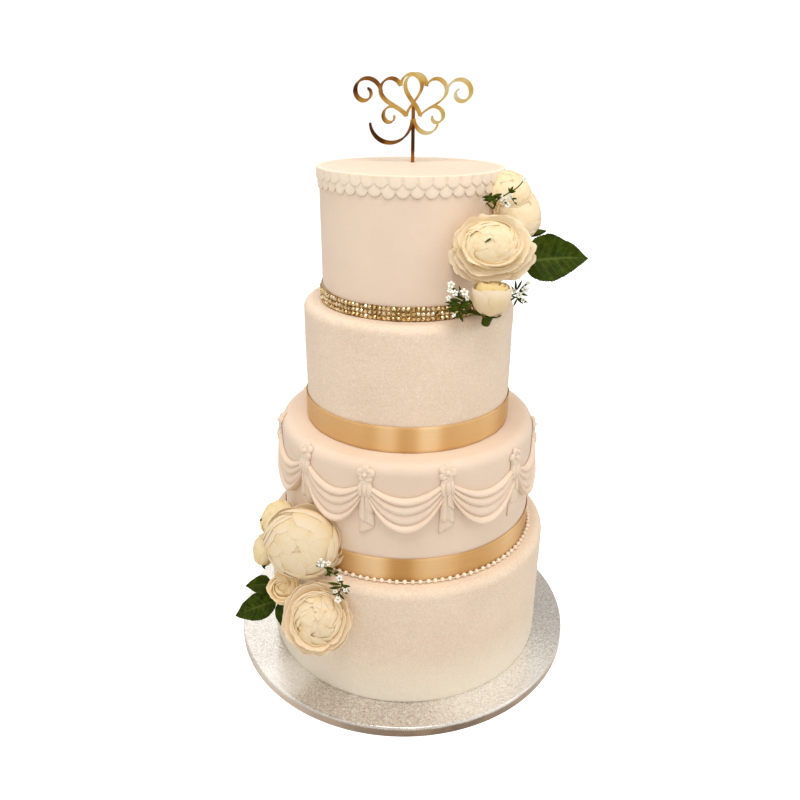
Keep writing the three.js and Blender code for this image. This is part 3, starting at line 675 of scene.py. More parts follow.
def make_swag(i):
    rng = np.random.default_rng(40 + i)
    a0, a1 = math.radians(DROP_ANGLES[i]), math.radians(DROP_ANGLES[(i + 1) % 10] + (360 if i == 9 else 0))
    gap = (SWAG_END_GAP - 2.2) / SIDE_R
    nu, nv = 43, 43
    u = np.linspace(0, 1, nu)[:, None]
    v = np.linspace(0, 1, nv)[None]
    hang = 1 - (2 * u - 1) ** 2
    sag = SWAG_SAG + rng.normal(0, 0.5)
    mid = SWAG_END_Z + DROP_DZ[i] + (DROP_DZ[(i + 1) % 10] - DROP_DZ[i]) * u - sag * hang
    height = SWAG_END_H + (SWAG_MID_H - SWAG_END_H) * hang ** 0.8
    z = mid + height / 2 - v * height
    th = np.zeros((nu, nv))
    for k, (b0, b1, tall) in enumerate(RIDGES):
        wander = 0.012 * np.sin(3 * u + rng.uniform(0, 6)) * np.sin(PI * u)
        x = (v - (b0 + b1) / 2 - wander) / ((b1 - b0) / 2 * 1.04)
        x = np.clip(x, -1.2, 1.2)
        top = 1.0 if k == 3 else 0.85
        dome = np.sqrt(np.clip(1 - np.abs(x) ** 2.1, 0, 1)) * (1 + 0.2 * x * (1 if k != 3 else 0))
        th = np.maximum(th, tall * top * dome)
    ends = 0.62 + 0.38 * np.clip(np.sin(PI * u) * 1.6, 0, 1)
    th = (0.7 + 4.6 * th) * ends
    edge = np.clip(np.minimum(v / 0.035, (1 - v) / 0.03), 0, 1)
    th = th * (0.2 + 0.8 * np.sqrt(edge))
    ang = a0 + gap + (a1 - a0 - 2 * gap) * u
    front = around(ang, SIDE_R + th, z)[:, ::-1]
    back = around(ang, SIDE_R - 0.25, z)[:, ::6]
    P = np.concatenate([front, back], 1)
    vv, q = grid(P, False, True)
    k, n = P.shape[1], len(vv)
    vv = np.concatenate([vv, [P[0].mean(0)], [P[-1].mean(0)]])
    piece(f"draped_swag_{i + 1}", [chunk(vv, q, fan(np.arange(k), n), fan(np.arange(k) + (nu - 1) * k, n + 1, True))], ICING_MOULD, f"swag_{i + 1}")


def bent(a0, X, S, N):
    """Points on the second tier's side, S up along it and over its rounded shoulder, standing out by N."""
    z0, sh = 247.5, 9.0
    t = np.clip((S - z0) / sh, 0, 1.5)
    over = S > z0
    r = np.where(over, SIDE_R - sh + (sh + N) * np.cos(t), SIDE_R + N)
    z = np.where(over, z0 + (sh + N) * np.sin(t), S)
    return around(a0 + X / SIDE_R, r, z)


def relief(a0, X, Z, N):
    """A closed raised shape on the wall from a grid of x, z and height above the wall. X runs left to right along the first axis, Z upwards along the second."""
    front = bent(a0, X, Z, N)
    back = bent(a0, X, Z, np.full(np.shape(Z), -0.25))
    nu, nv = X.shape
    v = np.concatenate([front.reshape(-1, 3), back.reshape(-1, 3)])
    f = np.arange(nu * nv).reshape(nu, nv)
    b = f + nu * nv
    quads = np.stack([f[:-1, :-1], f[1:, :-1], f[1:, 1:], f[:-1, 1:]], -1).reshape(-1, 4)
    sides = [
        np.stack([f[0, :-1], f[0, 1:], b[0, 1:], b[0, :-1]], -1),
        np.stack([f[-1, :-1], b[-1, :-1], b[-1, 1:], f[-1, 1:]], -1),
        np.stack([f[:-1, 0], b[:-1, 0], b[1:, 0], f[1:, 0]], -1),
        np.stack([f[:-1, -1], f[1:, -1], b[1:, -1], b[:-1, -1]], -1),
    ]
    return chunk(v, quads, quads[:, ::-1] + nu * nv, *sides)


def make_drop(i):
    rng = np.random.default_rng(70 + i)
    a0 = math.radians(DROP_ANGLES[i])
    out = []
    up = DROP_DZ[i]
    # layers of the tails from back to front: edges at the neck and at the hem, hem heights from left to right, standing height at left, middle and right, how round the hem is
    pleats = [
        ((-5.0, 4.6), (-6.2, 7.2), (188.0, 195.5), (1.3, 2.0, 1.3), 0.0),
        ((-0.6, 5.0), (-1.4, 8.3), (201.5, 197.0), (2.2, 3.0, 1.8), 0.0),
        ((-4.8, -0.6), (-6.1, 0.4), (202.0, 201.0), (2.2, 4.0, 3.0), 2.2),
        ((-1.0, 5.0), (0.2, 7.6), (216.0, 210.0), (4.0, 4.3, 2.6), 0.6),
    ]
    for (l0, r0), (l1, r1), (h0, h1), tall, round_hem in pleats:
        nu, nv = 17, 19
        s = np.linspace(0, 1, nu)[:, None]
        w = np.linspace(0, 1, nv)[None]
        bottom = h0 + (h1 - h0) * s + rng.normal(0, 0.5) + round_hem * (2 * s - 1) ** 4 + 0.5 * np.sin(5 * s + rng.uniform(0, 6))
        z = bottom + (239.5 - bottom) * w
        d = np.clip((239.5 - z) / 51.5, 0, 1)
        spread = np.clip(d / ((239.5 - min(h0, h1)) / 51.5), 0, 1) ** 0.8
        left, right = l0 + (l1 - l0) * spread, r0 + (r1 - r0) * spread
        x = left + (right - left) * s
        n = np.interp(s, [0, 0.5, 1], tall) + 0.6 * np.sin(PI * s) ** 2 * d + 0.3 * np.sin(3 * PI * s + 0.6) * d
        rise = np.clip(np.minimum(s / 0.1, (1 - s) / 0.1), 0, 1)
        lip = np.clip(w / 0.04, 0, 1)
        n = n * (0.35 + 0.65 * np.sqrt(rise)) * (0.7 + 0.3 * np.sqrt(lip)) * (0.75 + 0.25 * d)
        out.append(relief(a0, x, up + z, n))
    # the knot that gathers the swags' ends
    for cx, cz, wx, wz, tall in ((0.0, 239.6, 5.8, 4.4, 2.9), (-4.0, 233.0, 2.7, 7.4, 4.6), (4.0, 233.0, 2.7, 7.4, 4.6), (0.2, 233.6, 2.9, 7.8, 5.0)):
        g = np.linspace(-1, 1, 13)
        gx, gz = np.meshgrid(g, g, indexing="ij")
        dx, dz = gx * np.sqrt(1 - gz ** 2 / 2), gz * np.sqrt(1 - gx ** 2 / 2)
        n = tall * np.sqrt(np.clip(1.02 - dx ** 2 - dz ** 2, 0, 1)) ** 0.8 * (1 - 0.06 * np.cos(dx * 7))
        out.append(relief(a0, cx + wx * dx, up + cz + wz * dz, n))
    piece(f"pleated_drop_{i + 1}", out, ICING_MOULD, f"drop_{i + 1}")


def make_rosette(i):
    rng = np.random.default_rng(90 + i)
    a0 = math.radians(DROP_ANGLES[i])
    out = []
    spin = PI / 2 + rng.normal(0, 0.12)
    for k in range(5):
        t = spin + k * 2 * PI / 5
        g = np.linspace(-1, 1, 13)
        gx, gy = np.meshgrid(g, g, indexing="ij")
        dx, dy = gx * np.sqrt(1 - gy ** 2 / 2), gy * np.sqrt(1 - gx ** 2 / 2)
        rad = dx ** 2 + dy ** 2
        size = rng.uniform(0.93, 1.05)
        along, across = 4.3 * size, 3.9 * size
        n = 3.1 * np.sqrt(np.clip(1.03 - rad, 0, 1)) - 1.5 * np.exp(-((dx + 0.25) ** 2 / 0.18 + dy ** 2 / 0.1)) - 0.5 * np.exp(-(dx - 0.75) ** 2 / 0.06 - dy ** 2 / 0.03)
        n = np.clip(n, 0.15, None)
        px, pz = 4.5 + along * dx * (1 - 0.1 * dy ** 2), across * dy
        # keep left to right and upward order for the grid's faces by turning the petal about its own middle
        X = px * math.cos(t) - pz * math.sin(t)
        Z = px * math.sin(t) + pz * math.cos(t)
        out.append(relief(a0, X, 248.5 + DROP_DZ[i] + Z, n))
    g = np.linspace(-1, 1, 11)
    gx, gy = np.meshgrid(g, g, indexing="ij")
    dx, dy = gx * np.sqrt(1 - gy ** 2 / 2), gy * np.sqrt(1 - gx ** 2 / 2)
    out.append(relief(a0, 2.3 * dx, 248.5 + DROP_DZ[i] + 2.3 * dy, 4.4 * np.sqrt(np.clip(1.02 - dx ** 2 - dy ** 2, 0, 1))))
    piece(f"petal_rosette_{i + 1}", out, ICING_MOULD, f"rosette_{i + 1}")


# ---------------------------------------------------------------- topper: two hearts and scrolls cut from mirror sheet
HEART_W, HEART_X, HEART_Z, HEART_LEAN, LINE_W = 40, 10, 6, 0.2, 3.2


def heart(t, w):
    a = 2 * PI * t
    return np.stack([16 * np.sin(a) ** 3, 13 * np.cos(a) - 5 * np.cos(2 * a) - 2 * np.cos(3 * a) - np.cos(4 * a)], -1) * w / 32


def leaned(p, cx, cz, lean):
    c, s = math.cos(lean), math.sin(lean)
    return np.stack([cx + p[..., 0] * c - p[..., 1] * s, cz + p[..., 0] * s + p[..., 1] * c], -1)


def scroll(cx, cz, r0, r1, a0, a1, n=72):
    t = np.linspace(0, 1, n)
    a, r = a0 + (a1 - a0) * t, r0 + (r1 - r0) * t ** 0.8
    return np.stack([cx + r * np.cos(a), cz + r * np.sin(a)], -1)


def scroll_from(side, t, r0, r1, a0, a1):
    p = leaned(heart(np.array(t), HEART_W - LINE_W), side * HEART_X, HEART_Z, -side * HEART_LEAN)
    return scroll(p[0] - r0 * math.cos(a0), p[1] - r0 * math.sin(a0), r0, r1, a0, a1)


def swell(thin, thick, n=72):
    t = np.linspace(0, 1, n)
    return thin + (thick - thin) * np.sin(PI * np.minimum(1, 0.12 + 0.88 * t))


def bar(line, width, thick, closed=False, tone=0.5):
    """A flat bar of the sheet along a line in x and z, with small bevels."""
    p = np.asarray(line, float)
    w = np.broadcast_to(np.asarray(width, float), (len(p),))
    if closed:
        d = np.roll(p, -1, 0) - np.roll(p, 1, 0)
    else:
        d = np.gradient(p, axis=0)
    d /= np.linalg.norm(d, axis=1, keepdims=True)
    s = np.stack([-d[:, 1], d[:, 0]], -1)
    b, h = 0.22, thick / 2
    sec = []
    offs = [(-0.5, 0, -(h - b)), (-0.5, 1, -h), (0.5, -1, -h), (0.5, 0, -(h - b)), (0.5, 0, h - b), (0.5, -1, h), (-0.5, 1, h), (-0.5, 0, h - b)]
    for f, inset, y in offs:
        q = p + s * (f * w + inset * b)[:, None]
        sec.append(np.stack([q[:, 0] + TOPPER_X, np.full(len(p), TOPPER_Y + y), q[:, 1] + TOPPER_Z], -1))
    P = np.stack(sec, 1)
    v, q = grid(P, closed, True)
    # painted reflection: the gold is painted lighter towards the right
    tones = (tone + 0.006 * (v[:, 0] - TOPPER_X))
    if closed:
        return chunk(v, q[:, ::-1], tone=np.clip(tones, 0, 1))
    n = len(v)
    v = np.concatenate([v, [P[0].mean(0)], [P[-1].mean(0)]])
    tones = np.concatenate([tones, tones[:1], tones[n - 1:n]])
    k = 8
    return chunk(v, q[:, ::-1], fan(np.arange(k), n, True), fan(np.arange(k) + n - k, n + 1), tone=np.clip(tones, 0, 1))


def make_topper():
    half = np.linspace(0.004, 0.496, 70)
    lines = []
    # painted reflection: each stroke's gold has its own tone, the left heart and scrolls darker than the right, the
    # pick darker still
    for side, tone in ((-1, 0.5), (1, 0.54)):
        for t in (half, 1 - half):
            lines.append((leaned(heart(t, HEART_W - LINE_W), side * HEART_X, HEART_Z, -side * HEART_LEAN), LINE_W, tone))
    lines += [
        (scroll_from(-1, 0.73, 14.5, 3.5, -0.05 * PI, 2.35 * PI), swell(2, 4), 0.5),
        (scroll_from(1, 0.27, 14, 3.5, 1.05 * PI, -1.35 * PI), swell(2, 4), 0.54),
        (scroll_from(-1, 0.62, 9.5, 3, 0.25 * PI, 2.1 * PI), swell(1.8, 3.4), 0.45),
        (scroll_from(1, 0.38, 9.5, 3, 0.75 * PI, -1.1 * PI), swell(1.8, 3.4), 0.54),
        (scroll(-21.5, -17, 20.5, 17, 0.02 * PI, -0.97 * PI), swell(2, 4), 0.4),
        (scroll(14.5, -17, 14, 7, 0.95 * PI, 2.0 * PI), swell(1.8, 3.6), 0.54),
    ]
    out = []
    for i, (line, w, tone) in enumerate(lines):
        # the width changes with the direction, as from a broad pen
        d = np.gradient(line, axis=0)
        pen = 1.5 + 2.5 * np.abs(np.sin(np.arctan2(d[:, 1], d[:, 0]) - math.radians(40)))
        w = pen if np.ndim(w) == 0 else np.clip(pen * w / 3.4, 1.2, 4.2)
        out.append(bar(line, w, TOPPER_T - 0.05 * i, False, tone))
    pick = np.stack([np.zeros(30), np.linspace(466 - TOPPER_Z, -2, 30)], -1)
    out.append(bar(pick, 3.2, TOPPER_T - 0.6, False, 0.2))
    piece("hearts_topper", out, GOLD, "topper", sharp=25)


# ---------------------------------------------------------------- flowers
ACROSS, RISE, TOWARDS = np.array([1.0, 0.011, 0]), np.array([0.004, 0.3986, 0.917]), np.array([0.01, -0.917, 0.3986])


def unit(v):
    v = np.asarray(v, float)
    return v / np.linalg.norm(v)


def bez(c, t):
    c = np.asarray(c, float)
    s = 1 - t
    return (s ** 3)[..., None] * c[0] + (3 * s * s * t)[..., None] * c[1] + (3 * s * t * t)[..., None] * c[2] + (t ** 3)[..., None] * c[3]


def petal(rng, ctrl, phi, span, ruffle=0.03, lean=0.05, roll=0.0, edge=0.3, dent=0.05, nu=19, nv=15):
    """An open petal of a bloom of radius 1 about the z axis: points, how far along each is, and how far across."""
    s = np.linspace(-1, 1, nu)[:, None]
    q = np.linspace(0, 1, nv)[None]
    skew = rng.normal(0, 0.08)
    ragged = 0.018 * np.sin(13 * s + rng.uniform(0, 6)) + 0.014 * np.sin(25 * s + rng.uniform(0, 6))
    reach = 1 - edge * np.abs(s + skew * (1 - s * s)) ** 2.4 - dent * np.exp(-((s - skew) / 0.2) ** 2) + ragged
    t = np.clip(q ** 0.9 * reach, 0, 1.05)
    B = bez(ctrl, t)
    w = span * (0.3 + 0.7 * np.clip(t / 0.5, 0, 1) ** 0.8)
    f1, f2 = rng.uniform(3.0, 5.0), rng.uniform(6.5, 9.5)
    p1, p2, p3 = rng.uniform(0, 6, 3)
    wave = ruffle * t ** 3 * (np.sin(f1 * s + p1) + 0.55 * np.sin(f2 * s + p2)) + 0.35 * ruffle * t ** 2 * np.sin(2.2 * s + p3)
    side = roll * np.abs(s) ** 3 * t ** 2
    rho = B[..., 0] * (1 + lean * s) + wave * 0.6 + side
    h = B[..., 1] + wave * 0.8 - 0.6 * side + 0.02 * lean * s
    a = phi + s * w
    P = np.stack([rho * np.cos(a), rho * np.sin(a), h], -1)
    return P, t, np.broadcast_to(s, t.shape)


def wrapped(rng, a, b, h0, lip, width, phi, flare, ruffle, lean, low=2.45, nu=15, nv=13):
    """A petal that wraps a ball of radius a and height b about the z axis, from behind it up to the angle lip from its front."""
    s = np.linspace(-1, 1, nu)[:, None]
    q = np.linspace(0, 1, nv)[None]
    skew = rng.normal(0, 0.1)
    ragged = 0.01 * np.sin(11 * s + rng.uniform(0, 6)) + 0.006 * np.sin(21 * s + rng.uniform(0, 6))
    reach = 1 - (0.12 + 0.18 * min(1.0, lip / 0.8)) * (0.3 if low > 2.5 else 1.0) * np.abs(s + skew * (1 - s * s)) ** 3 - 0.025 * np.exp(-((s - skew) / 0.22) ** 2) + ragged
    t = np.clip(q ** 0.75 * reach, 0, 1.03)
    th = low + (lip - low) * t
    f1, f2 = rng.uniform(2.5, 4.5), rng.uniform(6, 9)
    p1, p2 = rng.uniform(0, 6, 2)
    wave = ruffle * t ** 4 * (np.sin(f1 * s + p1) + 0.6 * np.sin(f2 * s + p2))
    out = 1 + lean * s + flare * np.clip((t - 0.72) / 0.28, 0, 1.1) ** 2 + wave
    rho, h = a * np.sin(th) * out, h0 + b * np.cos(th) * (0.55 + 0.45 * out)
    w = np.minimum(width / np.maximum(a * np.sin(th), 0.3 * a), 1.5) * (0.35 + 0.65 * np.clip(t / 0.4, 0, 1))
    ang = phi + s * w
    P = np.stack([rho * np.cos(ang), rho * np.sin(ang), h], -1)
    return P, t, np.broadcast_to(s, t.shape)


# open rings, outermost first: count, Bezier control points (radius, height), half span, ruffle, lean, roll, edge
# wrapped rings: count, ball radius, ball height, its middle, lip angle, half width, flare, ruffle, lean
FULL = [
    (6, [(0.1, -0.5), (0.55, -0.46), (0.85, -0.3), (1.02, -0.34)], 0.74, 0.045, 0.04, 0.0, 0.3),
    (6, [(0.1, -0.45), (0.52, -0.37), (0.8, -0.14), (0.96, -0.14)], 0.72, 0.05, 0.05, 0.0, 0.3),
    (5, [(0.1, -0.38), (0.5, -0.26), (0.72, 0.02), (0.86, 0.02)], 0.84, 0.045, 0.05, 0.0, 0.28),
    (5, [(0.08, -0.3), (0.45, -0.16), (0.62, 0.14), (0.72, 0.22)], 0.84, 0.04, 0.05, 0.0, 0.28),
    (6, 0.665, 0.3, 0.055, 1.28, 0.5, 0.02, 0.028, 0.05),
    (6, 0.635, 0.3, 0.058, 1.1, 0.45, 0.02, 0.028, 0.05),
    (6, 0.61, 0.3, 0.06, 0.95, 0.41, 0.02, 0.028, 0.05),
    (6, 0.585, 0.3, 0.062, 0.82, 0.37, 0.02, 0.03, 0.06),
    (5, 0.565, 0.3, 0.064, 0.69, 0.35, 0.02, 0.03, 0.06),
    (5, 0.545, 0.3, 0.066, 0.57, 0.32, 0.02, 0.03, 0.06),
    (5, 0.525, 0.3, 0.068, 0.45, 0.28, 0.02, 0.03, 0.07),
    (4, 0.5, 0.3, 0.07, 0.34, 0.26, 0.018, 0.026, 0.08),
    (4, 0.48, 0.3, 0.07, 0.23, 0.22, 0.015, 0.022, 0.09),
    (3, 0.455, 0.3, 0.07, 0.13, 0.21, 0.01, 0.02, 0.1),
    (3, 0.435, 0.3, 0.07, 0.04, 0.18, 0.01, 0.02, 0.1),
]
GARDEN = [
    (6, [(0.1, -0.5), (0.6, -0.5), (0.9, -0.22), (1.02, -0.06)], 0.76, 0.03, 0.04, 0.0, 0.28),
    (5, [(0.1, -0.44), (0.58, -0.42), (0.84, -0.06), (0.93, 0.08)], 0.88, 0.03, 0.05, 0.0, 0.26),
    (5, [(0.1, -0.38), (0.52, -0.3), (0.71, 0.06), (0.78, 0.18)], 0.88, 0.035, 0.05, 0.0, 0.26),
    (6, 0.73, 0.34, 0.0, 1.3, 0.5, 0.03, 0.03, 0.07),
    (6, 0.685, 0.35, 0.01, 1.16, 0.46, 0.03, 0.032, 0.08),
    (6, 0.645, 0.36, 0.02, 1.01, 0.42, 0.03, 0.035, 0.08),
    (6, 0.61, 0.365, 0.022, 0.86, 0.36, 0.03, 0.04, 0.1),
    (6, 0.58, 0.37, 0.024, 0.7, 0.32, 0.03, 0.042, 0.11),
    (5, 0.55, 0.372, 0.026, 0.56, 0.28, 0.03, 0.042, 0.12),
    (5, 0.515, 0.374, 0.028, 0.42, 0.25, 0.028, 0.04, 0.13),
    (4, 0.48, 0.376, 0.03, 0.29, 0.23, 0.025, 0.036, 0.14),
    (4, 0.44, 0.378, 0.032, 0.17, 0.2, 0.02, 0.03, 0.15),
    (3, 0.4, 0.38, 0.034, 0.06, 0.17, 0.02, 0.025, 0.16),
]
BALL = [
    (6, [(0.1, -0.5), (0.72, -0.6), (1.0, -0.46), (1.05, -0.28)], 0.8, 0.05, 0.05, 0.0, 0.3),
    (5, 0.975, 0.5, -0.04, 1.3, 0.78, 0.02, 0.02, 0.04),
    (5, 0.953, 0.5, -0.038, 1.02, 0.74, 0.018, 0.02, 0.04),
    (4, 0.931, 0.5, -0.036, 0.8, 0.68, 0.018, 0.022, 0.05),
    (4, 0.909, 0.5, -0.034, 0.6, 0.58, 0.018, 0.022, 0.06),
    (4, 0.887, 0.498, -0.032, 0.42, 0.48, 0.016, 0.022, 0.06),
    (4, 0.865, 0.496, -0.03, 0.26, 0.4, 0.014, 0.02, 0.06),
    (3, 0.843, 0.494, -0.028, 0.12, 0.36, 0.01, 0.016, 0.06),
    (3, 0.821, 0.492, -0.026, 0.02, 0.34, 0.008, 0.012, 0.06),
]
SPIRAL = [
    (5, [(0.1, -0.5), (0.6, -0.48), (0.9, -0.2), (1.02, -0.08)], 0.9, 0.035, 0.08, 0.0, 0.26),
    (5, [(0.09, -0.42), (0.58, -0.4), (0.8, -0.02), (0.86, 0.12)], 0.88, 0.03, 0.08, 0.0, 0.26),
    (4, 0.74, 0.42, 0.0, 1.02, 0.7, 0.03, 0.02, 0.08),
    (4, 0.66, 0.425, 0.0, 0.9, 0.52, 0.03, 0.02, 0.09),
    (3, 0.56, 0.43, 0.0, 0.78, 0.5, 0.04, 0.02, 0.1),
    (3, 0.45, 0.435, 0.0, 0.66, 0.4, 0.04, 0.015, 0.12),
    (3, 0.33, 0.44, 0.0, 0.54, 0.3, 0.04, 0.01, 0.14),
    (3, 0.22, 0.43, 0.0, 0.46, 0.2, 0.04, 0.01, 0.14),
]
BUD = [
    (3, 1.0, 1.1, 0.0, 1.04, 1.3, 0.012, 0.008, 0.02),
    (3, 0.85, 0.92, 0.0, 0.95, 0.9, 0.012, 0.012, 0.04),
    (3, 0.72, 0.82, 0.0, 0.84, 0.7, 0.015, 0.014, 0.06),
    (3, 0.59, 0.76, 0.0, 0.73, 0.52, 0.02, 0.014, 0.08),
    (3, 0.46, 0.72, 0.0, 0.62, 0.4, 0.02, 0.014, 0.09),
    (3, 0.33, 0.69, 0.0, 0.52, 0.28, 0.02, 0.012, 0.1),
    (3, 0.21, 0.66, 0.0, 0.42, 0.18, 0.02, 0.01, 0.1),
]

# centre, face, radius, rings, height against width, pale to warm at the outside and in the heart and how light it is
# painted (partly painted light and shade), seed, spin, where its stem enters the icing
FLOWERS = {
    "rose_a": ((65.6, -84, 437), (-0.05, -0.88, 0.45), 36, FULL, 0.82, (0.2, 0.45, 0.9), 1, 0.3, (44, -58, 425)),
    "rose_b": ((93.2, -34, 457.5), (0.62, -0.6, 0.5), 25, BALL, 1.0, (0.0, 0.3, 0.94), 2, 1.0, (64, -26, 442)),
    "rose_c": ((82.3, -36, 474.5), (0.2, -0.62, 0.75), 20, BALL, 1.0, (0.1, 0.5, 0.9), 3, 2.0, (62, -28, 456)),
    "rose_bud": ((66.9, -91, 398.4), (0.03, -0.05, 1.0), 16, BUD, 1.0, (0.0, 1.0, 0.88), 4, -1.75, (52, -62, 376)),
    "rose_d": ((-94.2, -116, 170.7), (-0.05, -0.96, 0.27), 35, BALL, 0.94, (0.05, 0.2, 0.86), 5, 0.2, (-74, -90, 160)),
    "rose_e": ((-78.6, -144, 110.6), (0.02, -0.85, 0.52), 31.8, GARDEN, 1.06, (0.0, 0.25, 0.86), 6, 0.9, (-64, -118, 100)),
    "rose_f": ((-113.6, -116, 122.8), (-0.2, -0.72, 0.66), 17, SPIRAL, 0.9, (0.25, 0.75, 1.06), 7, 0.5, (-98, -94, 113)),
    "rose_g": ((-123.8, -76.5, 173.7), (-0.5, -0.45, 0.75), 18.5, BALL, 1.0, (0.5, 0.8, 0.88), 8, 1.4, (-98, -62, 160)),
    "rose_h": ((-139.6, -75, 136.6), (-0.8, -0.45, 0.4), 15.5, BALL, 1.0, (0.5, 0.8, 0.88), 9, 2.2, (-116, -64, 128)),
}


def bloom_frame(face):
    n = unit(face)
    ex = unit(np.cross([0, 0, 1.0], n))
    return np.stack([ex, np.cross(n, ex), n])


def make_rose(name):
    centre, face, R, rings, flat, tint, seed, spin, root = FLOWERS[name]
    rng = np.random.default_rng(100 + seed)
    F = bloom_frame(face)
    C = np.asarray(centre, float)
    scale = np.array([R, R * flat, R])
    out = []
    total = len(rings)
    for k, ring in enumerate(rings):
        n = ring[0]
        warm = tint[0] + (tint[1] - tint[0]) * k / (total - 1)
        base = spin + k * 2.4
        for i in range(n):
            phi = base + i * 2 * PI / n + rng.normal(0, 0.12)
            if isinstance(ring[1], list):
                ctrl, span, ruffle, lean, roll, edge = ring[1:]
                c = np.array(ctrl)
                c[1:, 0] *= 1 + np.clip(rng.normal(-0.01, 0.035), -0.08, 0.02)
                c[3, 1] += rng.normal(0, 0.045)
                c[2, 0] += rng.normal(0, 0.02)
                P, t, s = petal(rng, c, phi, span * rng.uniform(0.92, 1.08), ruffle * rng.uniform(0.7, 1.5), lean, roll, edge, nu=25, nv=13)
                tone = 0.2 + 0.8 * np.clip((t - 0.35) / 0.6, 0, 1)
            else:
                a, b, h0, lip, width, flare, ruffle, lean = ring[1:]
                lip = lip + rng.normal(0, 0.05 + 0.06 * lip)
                P, t, s = wrapped(rng, a * rng.uniform(0.985, 1.015), b, h0, max(lip, 0.03), width * rng.uniform(0.9, 1.1), phi, flare * rng.uniform(0.6, 1.5), ruffle * rng.uniform(0.6, 1.4), lean, 2.9 if rings is BUD else 2.45)
                tone = 0.15 + 0.85 * np.clip((t - 0.72) / 0.26, 0, 1) ** 0.8
            tone = tone * (0.3 if rings is BUD and k else 1 - 0.14 * k / total)
            # painted light: the outer rings of the garden rose are painted lighter
            light = tint[2] * (1 + 0.08 * (rings is GARDEN) * (1 - k / total))
            g = shell(P, (0.5 + 0.3 * np.clip(1 - t, 0, 1)) / R, tone=tone, vein=s + 3.7 * (i + 7 * k), tint=warm if rings is not BUD or not k else 1.0, lift=light)
            g["v"] = C + (g["v"] * scale) @ F
            out.append(g)
    # the tight heart of the bloom
    a, b, h0 = (0.82, 0.44, 0.0) if rings is BUD else rings[-1][1:4]
    g = ball((0, 0, 0), 1.0, 20, 13, tone=0.2 if rings is SPIRAL else 0.0 if rings is BUD else 0.75, tint=tint[1], vein=0.5, lift=tint[2])
    g["v"] = C + ((g["v"] * [0.95 * a, 0.95 * a, (0.8 if rings in (SPIRAL, BUD) else 0.96) * b] + [0, 0, h0]) * scale) @ F
    out.append(g)
    # green cup and stem behind the bloom, pushed into the icing
    back = C - F[2] * R * (0.95 if rings is BUD else 0.5)
    tip = np.asarray(root, float)
    path = smooth_path([back + F[2] * R * 0.2, back, back * 0.55 + tip * 0.45 - [0, 0, 2.0], tip], 8)
    wide = np.interp(np.linspace(0, 1, len(path)), [0, 0.12, 0.34, 0.5, 1], [0.16 * R, 0.2 * R, 0.12 * R, 1.8, 1.6])
    out.append(tube(path, wide, 12, m=1, tone=0.25))
    for j in range(5):
        a = spin + j * 2 * PI / 5 + 0.3
        if rings is BUD:
            ctrl = [(0.12, -1.1), (0.4, -1.16), (0.64, -1.06), (0.8, -0.86 + 0.08 * (j % 2))]
        else:
            ctrl = [(0.1, -0.56), (0.4, -0.6), (0.62, -0.54), (0.78, -0.44)]
        P, t, s = petal(rng, ctrl, a, 0.3, 0.01, 0.0, 0.0, 0.75, 0.0, 9, 11)
        g = shell(P, 0.8 / R, m=1, tone=0.3, vein=0.0)
        g["v"] = C + (g["v"] * scale) @ F
        out.append(g)
    if rings is BUD:
        # the cut stalk under the bud, lying over the edge of the tier
        out.append(tube(smooth_path([(66.7, -89.5, 384), (65.9, -88.4, 380), (64.8, -86.8, 375.6), (64, -85.4, 371.6)], 6), np.linspace(4.9, 3.6, 19), 14, m=1, tone=0.2))
    # tips of sepals that show beside the bloom
    tips = {"rose_g": [((-10.5, -1.6, -2), (-16.2, -2.8, -1), 3.2), ((-3.2, -4, 6), (-6.4, -8.6, 8), 2.8)], "rose_h": [((1.5, -13, 2), (3.2, -19, 3), 4.0)], "rose_b": [((8, -20, -8), (23.8, -17.2, -4), 6.4)]}
    for a, b, w in tips.get(name, []):
        a, b = (C + q[0] * ACROSS + q[1] * RISE + q[2] * TOWARDS for q in (a, b))
        out.append({**needle(a, b, w), "m": 1})
    if name == "rose_a":
        # a stray needle that has fallen on the petals
        line = np.array([(-0.17, -0.06, 0.385), (-0.12, -0.02, 0.4), (-0.07, 0.02, 0.4), (-0.03, 0.05, 0.39)])
        out.append(tube(C + (line * scale) @ F, [0.3, 0.75, 0.7, 0.25], 6, m=1, tone=0.0))
    piece(name + "_bloom", out, [PETAL, LEAF], name, sharp=55)


# base, tip, upper side, width, bend, where the stalk starts
LEAVES = {
    "leaf_1": ((97, -58, 418), (151, -52, 420.5), (0.15, -0.85, 0.5), 41, 5, (64, -36, 420)),
    "leaf_2": ((-130, -92, 108), (-154, -94, 107), (-0.2, -0.75, 0.6), 18, 2, (-112, -82, 110)),
    "leaf_3": ((-125, -101, 95), (-166, -97, 73), (-0.2, -0.75, 0.6), 26, 4, (-108, -88, 102)),
    "leaf_4": ((-119, -104, 95), (-119, -105, 67), (-0.25, -0.9, 0.35), 11, 2, (-108, -90, 103)),
}


